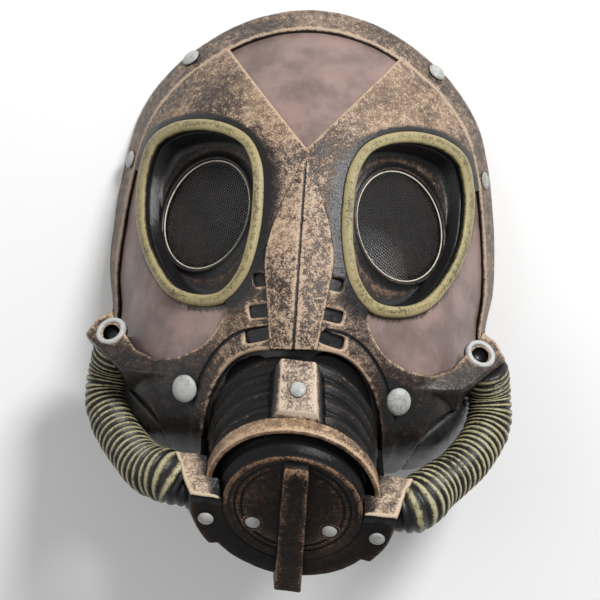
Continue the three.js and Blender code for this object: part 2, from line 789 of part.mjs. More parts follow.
// Hose: a corrugated tube along its route, cut to the wing above and the ear below.
function hose(side) {
  const route = new THREE.CatmullRomCurve3([
    ...hoseRoute.map(([x, y, z]) => new THREE.Vector3(side * x + hoseLean, y, z)),
    inMuzzle(side * (earRadius + fitGap + earFlare * earDepth * 0.66), -4.5, -earDepth * 0.66),
  ]);
  const steps = hoseRibs * 2;
  const frames = route.computeFrenetFrames(steps, false);
  const loops = [];
  for (let i = 0; i <= steps; i++) {
    const middle = route.getPointAt(i / steps);
    const swell = (hoseEndRadius - hoseRadius) * smooth((i / steps - 0.7) / 0.3);
    const radius = hoseRadius + swell - (i % 2 ? 0 : hoseRibDepth);
    loops.push(
      Array.from({ length: hoseSides }, (_, j) => {
        const turn = (2 * Math.PI * j) / hoseSides;
        return middle
          .clone()
          .addScaledVector(frames.normals[i], radius * Math.cos(turn))
          .addScaledVector(frames.binormals[i], radius * Math.sin(turn));
      }),
    );
  }
  const pastEar = loft(
    [-90, 90].map((up) =>
      [[30, 0], [0, 0], [-earDepth - fitGap, earFlare * earDepth], [-wide, earFlare * earDepth]].flatMap(([out, flare], i) => {
        const right = side * (earRadius + fitGap + flare);
        return [inMuzzle(right, up, out)];
      }).concat([inMuzzle(0, up, -wide), inMuzzle(0, up, 30)]),
    ),
  );
  const wingSide = wingSlab(-wingThickness - fitGap, 60);
  return loft(loops)
    .subtract(side > 0 ? wingSide : mirror(wingSide))
    .subtract(pastEar)
    .subtract(underFace(fitGap + padThickness + fitGap));
}

// Plan outlines of the band and the face plate.
function rimInset(inset, from, to, count) {
  return Array.from({ length: count }, (_, i) => {
    const angle = from + ((to - from) * i) / (count - 1);
    const rim = rimPlan(angle);
    const tangent = rimPlan(angle + 1).sub(rimPlan(angle - 1)).normalize();
    const inwards = new THREE.Vector2(-tangent.y, tangent.x);
    return inset(rim, inwards);
  });
}
const outside = (rim, inwards) => rim.clone().addScaledVector(inwards, -20);
// Plan point whose distance from the rim along the steep side of the face is a given width.
const sideways = (width) => (rim, inwards) => {
  const foot = facePoint(rim.x, rim.y).point;
  let [near, far] = [0, width];
  for (let i = 0; i < 20; i++) {
    const middle = (near + far) / 2;
    const plan = rim.clone().addScaledVector(inwards, middle);
    if (facePoint(plan.x, plan.y).point.distanceTo(foot) < width) near = middle;
    else far = middle;
  }
  return rim.clone().addScaledVector(inwards, near);
};
function bandOutline(clear = 0) {
  const [from, to] = [-5, 185];
  const inner = rimInset(sideways(bandWidth + clear), from, to, 31).reverse();
  return [...rimInset(outside, from, to, 31), ...inner];
}
function plateOutline() {
  const browStart = 47;
  const leatherAngle = THREE.MathUtils.radToDeg(Math.asin(leatherTop / 1.05));
  const brow = rimInset(sideways(bandWidth), leatherAngle, browStart + 15, 14).filter(
    (p) => p.y < faceHalfLength * browCornerUp - 0.5,
  );
  const right = [
    new THREE.Vector2(0, browTip * faceHalfLength),
    new THREE.Vector2(browCornerAcross * faceHalfWidth, browCornerUp * faceHalfLength),
    ...brow.reverse(),
    ...plateEdgeTable.map(planOf),
  ];
  return [...right, ...mirrored(right).slice(0, -1)];
}
function louvres() {
  return louvreTable.map((row) => {
    const bar = new THREE.BoxGeometry(row.length, row.width, wide);
    const middle = planOf(row);
    return toSolid(bar.rotateZ(radians(row.slope)).translate(middle.x, middle.y, 0));
  });
}
const mirror = (solid) => solid.mirror([1, 0, 0]);

function shell() {
  let solid = underFace(0).subtract(underFace(-shellWall)).subtract(belowRim(0));
  const eye = eyeTool(holeInset);
  const muzzleHole = muzzleRound(bellowsUnderRadius - bellowsWall * 3, bellowsBack - 60, 0);
  return solid.subtract(eye).subtract(mirror(eye)).subtract(muzzleHole);
}
function facePlate() {
  let solid = skin(plateOutline(), fitGap, plateThickness).subtract(archTool()).subtract(guard(fitGap));
  solid = solid.subtract(prism(bandOutline(bandClear)));
  const eye = eyeTool(-0.6);
  for (const cut of [eye, ...louvres()]) solid = solid.subtract(cut).subtract(mirror(cut));
  for (const side of [1, -1]) solid = solid.subtract(earTool(side));
  return largest(solid);
}
const earTool = (side) => {
  const box = new THREE.BoxGeometry(earRadius - collarRadius + 8, 30, earDepth + 2);
  return inMuzzleSolid(box.translate((side * (earRadius + collarRadius)) / 2, 4, -earDepth / 2));
};
const largest = (solid) => solid.decompose().sort((a, b) => b.volume() - a.volume())[0];

function noseRidge() {
  const right = ridgeTable.map(planOf);
  const outline = [...right, ...mirrored(right)];
  const gap = fitGap * 2 + plateThickness;
  return skin(outline, gap, ridgeThickness).subtract(archTool());
}
function jawPad(side) {
  const outline = smoothClosed(padTable.map(planOf), 24);
  const pad = skin(outline, fitGap, padThickness).subtract(wingTool());
  const placed = side > 0 ? pad : mirror(pad);
  return largest(placed.subtract(earTool(side)).subtract(guard(fitGap)));
}

const mask = new THREE.Group();
function add(name, solid, material) {
  const mesh = new THREE.Mesh(toGeometry(solid), material);
  mesh.name = name;
  mask.add(mesh);
}
function addPair(name, solid, material) {
  add(name + "_right", solid, material);
  add(name + "_left", mirror(solid), material);
}

add("mask_shell", shell(), materials.leather);
add("rim_band", skin(bandOutline(), fitGap, bandThickness).subtract(wingTool()), materials.bronze);
add("face_plate", facePlate(), materials.bronze);
add("nose_ridge", noseRidge(), materials.bronze);
addPair("eye_frame", eyeFrame(), materials.brass);
addPair("eye_socket", eyeSocket(), materials.copper);
addPair("mesh_ring", meshRing(), materials.silver);
addPair("eye_mesh", eyeMesh(), materials.mesh);
addPair("cheek_wing", wing(), materials.copper);
addPair("eyelet", eyelet(), materials.silver);
add("jaw_pad_right", jawPad(1), materials.black);
add("jaw_pad_left", jawPad(-1), materials.black);
add("hose_right", hose(1), materials.hose);
add("hose_left", hose(-1), materials.hose);
add("muzzle_bellows", bellows(), materials.black);
add("muzzle_collar", collar(), materials.bronze);
add("canister", canister(), materials.copper);
add("chin_guard", chinGuard(), materials.copper);
add("guard_ear_right", ear(1), materials.copper);
add("guard_ear_left", ear(-1), materials.copper);
add("centre_bar", centreBar(), materials.copper);
add("strap_block", strapBlock(), materials.copper);

const onPlate = fitGap + plateThickness;
const onBand = fitGap + bandThickness;
addPair("cheek_rivet", faceRivet(cheekRivetPlace, onPlate, cheekRivetRadius), materials.silver);
addPair("top_rivet", faceRivet(topRivetPlace, onBand, bandRivetRadius), materials.silver);
addPair("side_rivet", faceRivet(sideRivetPlace, onBand, bandRivetRadius * 0.92), materials.silver);
const strapMiddle = bellowsFront + 0.8 - strapLength * 0.42;
const strapRise = strapFrontRise + (bellowsBaseTop + strapBackRise - collarRadius - strapFrontRise) * 0.42;
const strapSlope = Math.atan((bellowsBaseTop + strapBackRise - collarRadius - strapFrontRise) / strapLength);
const strapNormal = muzzleUp
  .clone()
  .multiplyScalar(Math.cos(strapSlope))
  .addScaledVector(muzzleOut, Math.sin(strapSlope));
add("strap_rivet", rivet(inMuzzle(0, collarRadius + strapRise, strapMiddle), strapNormal, smallRivetRadius), materials.silver);
const muzzleRivets = [
  { name: "disc_rivet", across: 18, up: -11.5, out: -canisterRimHeight },
  { name: "ear_rivet", across: 40.3, up: -12, out: 0 },
];
for (const { name, across, up, out } of muzzleRivets)
  for (const [side, word] of [[1, "right"], [-1, "left"]])
    add(name + "_" + word, rivet(inMuzzle(side * across, up, out), muzzleOut, smallRivetRadius), materials.silver);

// The origin is under the middle of the whole mask, on the plane of its rim.
const extent = new THREE.Box3().setFromObject(mask);
const centre = extent.getCenter(new THREE.Vector3());
mask.position.set(-centre.x, -centre.y, -extent.min.z);

export default mask;
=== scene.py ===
import math

import bmesh
import bpy
import numpy as np
from mathutils import Matrix, Vector
from mathutils.geometry import delaunay_2d_cdt
from mathutils.kdtree import KDTree


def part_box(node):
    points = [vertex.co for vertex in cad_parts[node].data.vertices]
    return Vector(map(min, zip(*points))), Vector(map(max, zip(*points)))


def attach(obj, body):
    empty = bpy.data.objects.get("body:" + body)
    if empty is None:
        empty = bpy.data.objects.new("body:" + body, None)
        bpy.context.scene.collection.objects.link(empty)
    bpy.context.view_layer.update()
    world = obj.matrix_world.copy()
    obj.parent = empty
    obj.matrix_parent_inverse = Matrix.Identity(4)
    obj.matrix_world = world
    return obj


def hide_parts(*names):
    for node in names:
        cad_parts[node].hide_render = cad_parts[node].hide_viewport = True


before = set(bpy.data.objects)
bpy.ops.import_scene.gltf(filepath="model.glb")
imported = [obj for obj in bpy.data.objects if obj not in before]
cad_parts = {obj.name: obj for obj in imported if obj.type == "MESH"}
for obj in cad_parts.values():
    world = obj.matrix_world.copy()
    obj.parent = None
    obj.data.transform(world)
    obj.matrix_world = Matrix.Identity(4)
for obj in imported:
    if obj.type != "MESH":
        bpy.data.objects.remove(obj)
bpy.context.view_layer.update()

# A gas mask style costume mask lying face up on its rim. Shapes are worked out in millimetres on the same axes as
# the solids, with x = 0 on the middle line of the face, and written in metres in the solids' frame.

# Face shell
FACE_HALF_WIDTH = 102.0
FACE_HALF_LENGTH = 150.0
FACE_DEPTH = 88.0
SHELL_WALL = 2.5
NOSE_RISE, NOSE_SPREAD, NOSE_TOP, NOSE_RUN = 20.0, 28.0, 62.0, 85.0
BAND_WIDTH = 18.0
PLATE_THICKNESS = 2.35
RIDGE_THICKNESS = 5.6

# Angle above the X axis, reach as a share of the half sizes, squareness of the fall to the rim.
RIM_TABLE = [
    (-90, 0.7, 4), (-70, 0.705, 4.6), (-50, 0.765, 6.5), (-38, 0.87, 8), (-30, 0.945, 8.6), (-22, 0.98, 8),
    (-14, 0.98, 6.8), (-4, 0.95, 4.8), (4, 0.975, 3.7), (14, 0.992, 3.1), (25, 1.02, 2.9), (37, 1.055, 2.8),
    (48, 1.046, 2.7), (60, 1.022, 2.6), (75, 1.005, 2.6), (90, 1, 2.6),
]

# Goggle eyes
EYE_CENTRE = (51.5, 49.5)
EYE_HALF = (33.8, 44.0)
EYE_TABLE = [
    (0, 1), (0.45, 0.93), (0.8, 0.75), (0.97, 0.42), (1, 0.05), (0.93, -0.3), (0.7, -0.65), (0.32, -0.93),
    (-0.14, -1), (-0.54, -0.92), (-0.83, -0.64), (-0.97, -0.24), (-1, 0.2), (-0.94, 0.58), (-0.74, 0.84),
    (-0.4, 0.97),
]
SOCKET_DEPTH = 8.5
MESH_RADIUS, MESH_SHIFT_OUT, MESH_SHIFT_DOWN = 28.4, 2.0, 2.6

# Muzzle
MUZZLE_Y, MUZZLE_Z, MUZZLE_REACH = -80.0, 127.0, 72.0
MUZZLE_PITCH, MUZZLE_LEAN, MUZZLE_TWIST, MUZZLE_DRIFT = 30.0, -3.3, -1.0, 0.118
CANISTER_RADIUS = 32.8
COLLAR_RADIUS, COLLAR_LENGTH, COLLAR_SET_BACK = 41.0, 8.8, 9.6
BELLOWS_FRONT = -(COLLAR_SET_BACK + COLLAR_LENGTH)
BELLOWS_LENGTH, BELLOWS_FOLD_SHARE = 57.0, 0.6
BELLOWS_BACK = BELLOWS_FRONT - BELLOWS_LENGTH
BELLOWS_BASE = (42.0, 50.5)
BELLOWS_FRONT_RADIUS, BELLOWS_UNDER_RADIUS = 39.5, 38.0
BELLOWS_FOLDS, BELLOWS_FOLD_DEPTH = 4, 2.0
GUARD_RADIUS, GUARD_DEPTH = 44.3, 66.0
EAR_RADIUS, EAR_FLARE, EAR_SPREAD, EAR_DEPTH = 48.0, 0.39, 38.0, 21.0
EAR_TOP_DROP, EAR_FRONT_RISE, EAR_BACK_RISE = 1.0, 2.8, 8.8
RING_RADII = (24.0, 27.2)
BAR_WIDTH, BAR_HEIGHT, BAR_TOP, BAR_BOTTOM = 12.0, 7.0, 30.6, 48.0
STRAP_FACE, STRAP_BASE, STRAP_LENGTH, STRAP_FRONT = 18.0, 28.0, 22.5, BELLOWS_FRONT + 0.8
STRAP_LOW, STRAP_HIGH = COLLAR_RADIUS + 4.0, BELLOWS_BASE[1] + 6.5

# Hoses
HOSE_RADIUS, HOSE_END_RADIUS, HOSE_RIBS, HOSE_LEAN = 11.3, 13.0, 31, 3.0
HOSE_ROUTE = [
    (92, -20, 57), (95, -33, 51), (96.3, -44, 52.5), (94.8, -52, 57.5), (88.5, -60.5, 69), (79.5, -67.3, 84),
    (69, -72.3, 98)
]
HOSE_END = [(57.5, -5.0, -17), (51.5, -6.6, -14.8), (45, -8, -14)]

MM = 0.001


def smooth(t):
    t = np.clip(t, 0, 1)
    return t * t * (3 - 2 * t)


def table_at(keys, values, x):
    """Smooth curve through a table's rows, with flat ends."""
    keys, values = np.asarray(keys, float), np.asarray(values, float)
    slopes = np.zeros(len(keys))
    slopes[1:-1] = (values[2:] - values[:-2]) / (keys[2:] - keys[:-2])
    i = np.clip(np.searchsorted(keys, x, side="left") - 1, 0, len(keys) - 2)
    span = keys[i + 1] - keys[i]
    t = np.clip((x - keys[i]) / span, 0, 1)
    return (
        (2 * t**3 - 3 * t**2 + 1) * values[i]
        + (t**3 - 2 * t**2 + t) * slopes[i] * span
        + (3 * t**2 - 2 * t**3) * values[i + 1]
        + (t**3 - t**2) * slopes[i + 1] * span
    )


ANGLES, REACHES, SQUARENESS = (np.array(c, float) for c in zip(*RIM_TABLE))


def face_height(x, y):
    across, up = np.abs(x) / FACE_HALF_WIDTH, np.asarray(y) / FACE_HALF_LENGTH
    angle = np.degrees(np.arctan2(up, across))
    share = np.hypot(across, up) / table_at(ANGLES, REACHES, angle)
    dome = 1 - share ** table_at(ANGLES, SQUARENESS, angle)
    nose = np.exp(-((x / NOSE_SPREAD) ** 2)) * smooth((NOSE_TOP - y) / NOSE_RUN)
    return FACE_DEPTH * dome + NOSE_RISE * nose * (1 - np.minimum(share, 1) ** 4)


def face_normal(x, y):
    step = 0.5
    sx = (face_height(x + step, y) - face_height(x - step, y)) / (2 * step)
    sy = (face_height(x, y + step) - face_height(x, y - step)) / (2 * step)
    n = np.stack([-sx, -sy, np.ones_like(sx)], -1)
    return n / np.linalg.norm(n, axis=-1, keepdims=True)


def on_face(x, y, offset=0.0):
    x, y = np.asarray(x, float), np.asarray(y, float)
    p = np.stack([x, y, face_height(x, y)], -1)
    return p + face_normal(x, y) * np.broadcast_to(np.asarray(offset, float), x.shape)[..., None]


def rim_plan(angle, share=1.0):
    a = np.radians(np.asarray(angle, float))
    reach = share * table_at(ANGLES, REACHES, np.degrees(np.arcsin(np.clip(np.sin(a), -1, 1))))
    return np.stack([FACE_HALF_WIDTH * reach * np.cos(a), FACE_HALF_LENGTH * reach * np.sin(a)], -1)


# The solids' frame has its origin under the middle of the whole mask.
shell_low, shell_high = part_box("mask_shell")
SHIFT = np.array([(shell_low[0] + shell_high[0]) / 2, shell_high[1] - FACE_HALF_LENGTH * MM, 0])


def metres(points):
    return np.asarray(points, float) * MM + SHIFT


# Camera, in front of the mask and a little above it

ROLL, YAW, PITCH = math.radians(-3.4), math.radians(-0.9), math.radians(8)
CAMERA_DISTANCE, PIXEL_MM = 900.0, 0.53
turn = Matrix.Rotation(ROLL, 3, "Z") @ Matrix.Rotation(PITCH, 3, "X") @ Matrix.Rotation(YAW, 3, "Y")
camera_data = bpy.data.cameras.new("camera")
camera = bpy.data.objects.new("camera", camera_data)
bpy.context.scene.collection.objects.link(camera)
place = turn.transposed().to_4x4()
place.translation = turn.transposed() @ Vector((0, 0, CAMERA_DISTANCE * MM)) + Vector(SHIFT)
camera.matrix_world = place
camera_data.sensor_width = 36
camera_data.lens = 18 * CAMERA_DISTANCE / (300 * PIXEL_MM)
camera_data.clip_start = 0.01
bpy.context.scene.camera = camera


# Mesh helpers


def mesh_object(name, points, faces, edge, hollow_and_shade, material, nodes=None):
    """An object in the solids' frame from points in millimetres, with per-point values for its paint. The solids that
    it replaces are nodes, or else the one that its name starts with."""
    mesh = bpy.data.meshes.new(name)
    mesh.from_pydata([tuple(p) for p in metres(points)], [], [tuple(int(i) for i in f) for f in faces])
    for key, values in (("edge", edge), ("hollow_and_shade", hollow_and_shade)):
        layer = mesh.attributes.new(key, "FLOAT", "POINT")
        layer.data.foreach_set("value", np.asarray(values, np.float32))
    bm = bmesh.new()
    bm.from_mesh(mesh)
    bmesh.ops.recalc_face_normals(bm, faces=bm.faces)
    bm.to_mesh(mesh)
    bm.free()
    mesh.polygons.foreach_set("use_smooth", [True] * len(mesh.polygons))
    obj = bpy.data.objects.new(name, mesh)
    bpy.context.scene.collection.objects.link(obj)
    mesh.materials.append(material)
    nodes = [name.rpartition("_")[0]] if nodes is None else nodes
    if nodes:
        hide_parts(*nodes)
    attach(obj, "root")
    return obj


def loft_faces(rows, columns, closed_rows=False, closed_columns=True):
    faces = []
    for i in range(rows if closed_rows else rows - 1):
        k = (i + 1) % rows
        for j in range(columns if closed_columns else columns - 1):
            m = (j + 1) % columns
            faces.append((i * columns + j, i * columns + m, k * columns + m, k * columns + j))
    return faces


def loft(name, loops, edge, hollow_and_shade, closed_rows=False, caps=True, **rest):
    """A closed skin through loops of the same count, with per-loop or per-point values for its paint."""
    loops = np.asarray(loops, float)
    rows, columns = loops.shape[:2]
    points = loops.reshape(-1, 3)
    faces = loft_faces(rows, columns, closed_rows)
    values = [np.asarray(v, float).reshape(rows, -1) for v in (edge, hollow_and_shade)]
    values = [np.broadcast_to(v, (rows, columns)).reshape(-1) for v in values]
    if caps and not closed_rows:
        base, end = len(points), (rows - 1) * columns
        points = np.vstack([points, loops[0].mean(0), loops[-1].mean(0)])
        for j in range(columns):
            m = (j + 1) % columns
            faces += [(base, m, j), (base + 1, end + j, end + m)]
        values = [np.append(v, [v[0], v[end]]) for v in values]
    return mesh_object(name, points, faces, *values, **rest)


def strip(name, rows, edge, hollow_and_shade, **rest):
    """A skin through closed rows of points, with a flat face at each end."""
    rows = np.array(rows)
    count, n = rows.shape[:2]
    faces = loft_faces(count, n) + [tuple(range(n)), tuple(range((count - 1) * n, count * n))]
    return mesh_object(name, rows.reshape(-1, 3), faces, np.ravel(edge), np.ravel(hollow_and_shade), **rest)


def curve_at(p0, p1, p2, p3, w):
    """Centripetal curve between p1 and p2, at the share w of the way."""
    d0, d1, d2 = (max(np.linalg.norm(b - a), 1e-4) ** 0.5 for a, b in ((p0, p1), (p1, p2), (p2, p3)))
    t1 = ((p1 - p0) / d0 - (p2 - p0) / (d0 + d1) + (p2 - p1) / d1) * d1
    t2 = ((p2 - p1) / d1 - (p3 - p1) / (d1 + d2) + (p3 - p2) / d2) * d1
    return p1 + t1 * w + (-3 * p1 + 3 * p2 - 2 * t1 - t2) * w**2 + (2 * p1 - 2 * p2 + t1 + t2) * w**3


def closed_curve(points, count):
    pts = [np.array(p, float) for p in points]
    n, out = len(pts), []
    for i in range(count):
        t = n * i / count
        out.append(curve_at(*(pts[(int(t) + d) % n] for d in (-1, 0, 1, 2)), t - int(t)))
    return np.array(out)


def resample(loop, spacing, closed=True):
    loop = np.asarray(loop, float)
    ring = np.vstack([loop, loop[:1]]) if closed else loop
    out = []
    for a, b in zip(ring[:-1], ring[1:]):
        n = max(int(np.ceil(np.linalg.norm(b - a) / spacing)), 1)
        out += [a + (b - a) * i / n for i in range(n)]
    return np.array(out if closed else out + [ring[-1]])


def inside(points, loop):
    points, loop = np.asarray(points, float), np.asarray(loop, float)
    hit = np.zeros(len(points), bool)
    for (x0, y0), (x1, y1) in zip(loop, np.roll(loop, -1, 0)):
        if y0 == y1:
            continue
        crosses = (y0 > points[:, 1]) != (y1 > points[:, 1])
        hit ^= crosses & (points[:, 0] < (x1 - x0) * (points[:, 1] - y0) / (y1 - y0) + x0)
    return hit


def distance(points, segments):
    """Shortest distance from each point to a set of segments, measured to points close together along them."""
    if not len(segments):
        return np.full(len(points), 1e9)
    flat = np.zeros((len(segments), 2, 3))
    flat[..., : segments.shape[2]] = segments
    count = np.maximum(np.ceil(np.linalg.norm(flat[:, 1] - flat[:, 0], axis=1) / 0.2).astype(int), 1)
    samples = np.concatenate([f[0] + (f[1] - f[0]) * np.linspace(0, 1, n + 1)[:, None] for f, n in zip(flat, count)])
    tree = KDTree(len(samples))
    for i, p in enumerate(samples):
        tree.insert(p, i)
    tree.balance()
    wide = np.zeros((len(points), 3))
    wide[:, : np.shape(points)[1]] = points
    return np.array([tree.find(p)[2] for p in wide])


def line_segments(line):
    line = np.asarray(line, float)
    return np.stack([line[:-1], line[1:]], 1)


BEVEL_STEPS = (0.3, 0.75, 1.3, 2.1)
GROOVE_STEPS = (-1.1, -0.6, -0.25, 0, 0.25, 0.6, 1.1)
WALL_RINGS = 2


def slab(name, outline, cut, top, bottom, spacing=1.5, lines=(), base=None, paint=None, **rest):
    """A sheet over a plan outline less the cut loops. base gives the 3-D points that distances are taken between;
    top and bottom give the skins from the distances to the edge and to the lines, which are meshed along for
    grooves; paint gives the attributes."""
    outline = resample(outline, 1.1)
    cut = [resample(c, 1.1) for c in cut]
    kept = []
    for k, loop in enumerate([outline, *cut]):
        seg = np.stack([loop, np.roll(loop, -1, 0)], 1)
        mid = seg.mean(1)
        ok = np.ones(len(seg), bool) if k == 0 else inside(mid, outline)
        for m, other in enumerate(cut):
            if m + 1 != k:
                ok &= ~inside(mid, other)
        kept.append(seg[ok])
    segments = np.concatenate(kept)
    segments = segments[np.linalg.norm(segments[:, 1] - segments[:, 0], axis=1) > 1e-4]
    along = segments[:, 1] - segments[:, 0]
    along /= np.linalg.norm(along, axis=1, keepdims=True)
    side = np.stack([-along[:, 1], along[:, 0]], 1)

    def within(p):
        ok = inside(p, outline)
        for c in cut:
            ok &= ~inside(p, c)
        return ok

    mids = segments.mean(1)
    stretch = np.linalg.norm(base(mids + side * 0.05) - base(mids - side * 0.05), axis=1) / 0.1
    stretch = np.clip(stretch, 0.7, 8)[:, None]
    solid_segments = np.stack([base(segments[:, 0]), base(segments[:, 1])], 1)
    extra = []
    for step in BEVEL_STEPS:
        for sign in (1, -1):
            p = mids + side * step * sign / stretch
            p = p[within(p)]
            extra.append(p[distance(base(p), solid_segments) > step * 0.85])
    grooves = [resample(l, 0.9, closed=False) for l in lines]
    for line in grooves:
        t = np.gradient(line, axis=0)
        t /= np.maximum(np.linalg.norm(t, axis=1, keepdims=True), 1e-9)
        n = np.stack([-t[:, 1], t[:, 0]], 1)
        for step in GROOVE_STEPS:
            p = line + n * step
            p = p[within(p)]
            extra.append(p[distance(p, segments) > 0.6])
    low, high = outline.min(0), outline.max(0)
    xs, ys = np.arange(low[0], high[0], spacing), np.arange(low[1], high[1], spacing * 0.87)
    gx, gy = np.meshgrid(xs, ys)
    gx = gx + (np.arange(len(ys)) % 2)[:, None] * spacing / 2
    grid = np.stack([gx.ravel(), gy.ravel()], 1)
    grid = grid[within(grid)]
    grid = grid[distance(grid, segments) > 0.9]
    grid = grid[distance(base(grid), solid_segments) > BEVEL_STEPS[-1] + spacing * 0.4]
    if grooves:
        groove_segments = np.concatenate([line_segments(g) for g in grooves])
        grid = grid[distance(grid, groove_segments) > 1.5]
    ends = segments.reshape(-1, 2)
    unique, index = np.unique(np.round(ends, 4), axis=0, return_inverse=True)
    index = index.reshape(-1, 2)
    edges = [tuple(map(int, e)) for e in index if e[0] != e[1]]
    cloud = np.vstack([unique, *extra, grid])
    verts, _, faces, *_ = delaunay_2d_cdt([Vector(p) for p in cloud], edges, [], 0, 1e-4)
    plan = np.array([tuple(v) for v in verts])
    tris = np.array([tuple(f) for f in faces], int)
    tris = tris[within(plan[tris].mean(1))]
    used = np.unique(tris)
    remap = np.full(len(plan), -1)
    remap[used] = np.arange(len(used))
    plan, tris = plan[used], remap[tris]
    d = distance(base(plan), solid_segments)
    dl = distance(plan, groove_segments) if grooves else np.full(len(plan), 1e3)
    high_points, low_points = top(plan, d, dl), bottom(plan, d, dl)
    count = len(plan)
    edge_use = {}
    for t in tris:
        for a, b in ((t[0], t[1]), (t[1], t[2]), (t[2], t[0])):
            edge_use.setdefault((min(a, b), max(a, b)), []).append((a, b))
    border = [u[0] for u in edge_use.values() if len(u) == 1]
    ring = sorted({i for e in border for i in e})
    where = {v: i for i, v in enumerate(ring)}
    points = [high_points, low_points]
    faces = [tuple(t) for t in tris] + [tuple(t[::-1] + count) for t in tris]
    levels, start = [{v: v for v in ring}], 2 * count
    drop = low_points[ring] - high_points[ring]
    for k in range(WALL_RINGS):
        points.append(high_points[ring] + drop * (k + 1) / (WALL_RINGS + 1))
        levels.append({v: start + where[v] for v in ring})
        start += len(ring)
    levels.append({v: v + count for v in ring})
    for upper, lower in zip(levels[:-1], levels[1:]):
        faces += [(upper[b], upper[a], lower[a], lower[b]) for a, b in border]
    values = []
    for v, under in zip(paint(plan, d, dl), (0.0, 1.0)):
        walls = [v[ring] * (1 - share) + under * share for share in np.arange(1, WALL_RINGS + 1) / (WALL_RINGS + 1)]
        values.append(np.concatenate([v, np.full(count, under), *walls]))
    return mesh_object(name, np.vstack(points), faces, *values, **rest)


def rounded(d, height, radius):
    """Height of a sheet whose top edge is rounded to a radius, at a distance from its edge."""
    r = min(radius, height)
    t = np.clip(1 - d / r, 0, 1)
    return height - r + r * np.sqrt(np.maximum(1 - t * t, 0))


def bump_noise(x, y, seed, scale, octaves=3):
    """Soft random unevenness over the plan, about -1 to 1."""
    r = np.random.default_rng(seed)
    out, weight = np.zeros_like(np.asarray(x, float)), 0.0
    for o in range(octaves):
        for _ in range(5):
            a, f, p = r.uniform(0, 2 * math.pi), 2**o / scale * r.uniform(0.7, 1.4), r.uniform(0, 2 * math.pi)
            out += np.sin((x * math.cos(a) + y * math.sin(a)) * f * 2 * math.pi + p) * 0.5**o
            weight += 0.5**o * 0.5
    return out / weight


# Materials


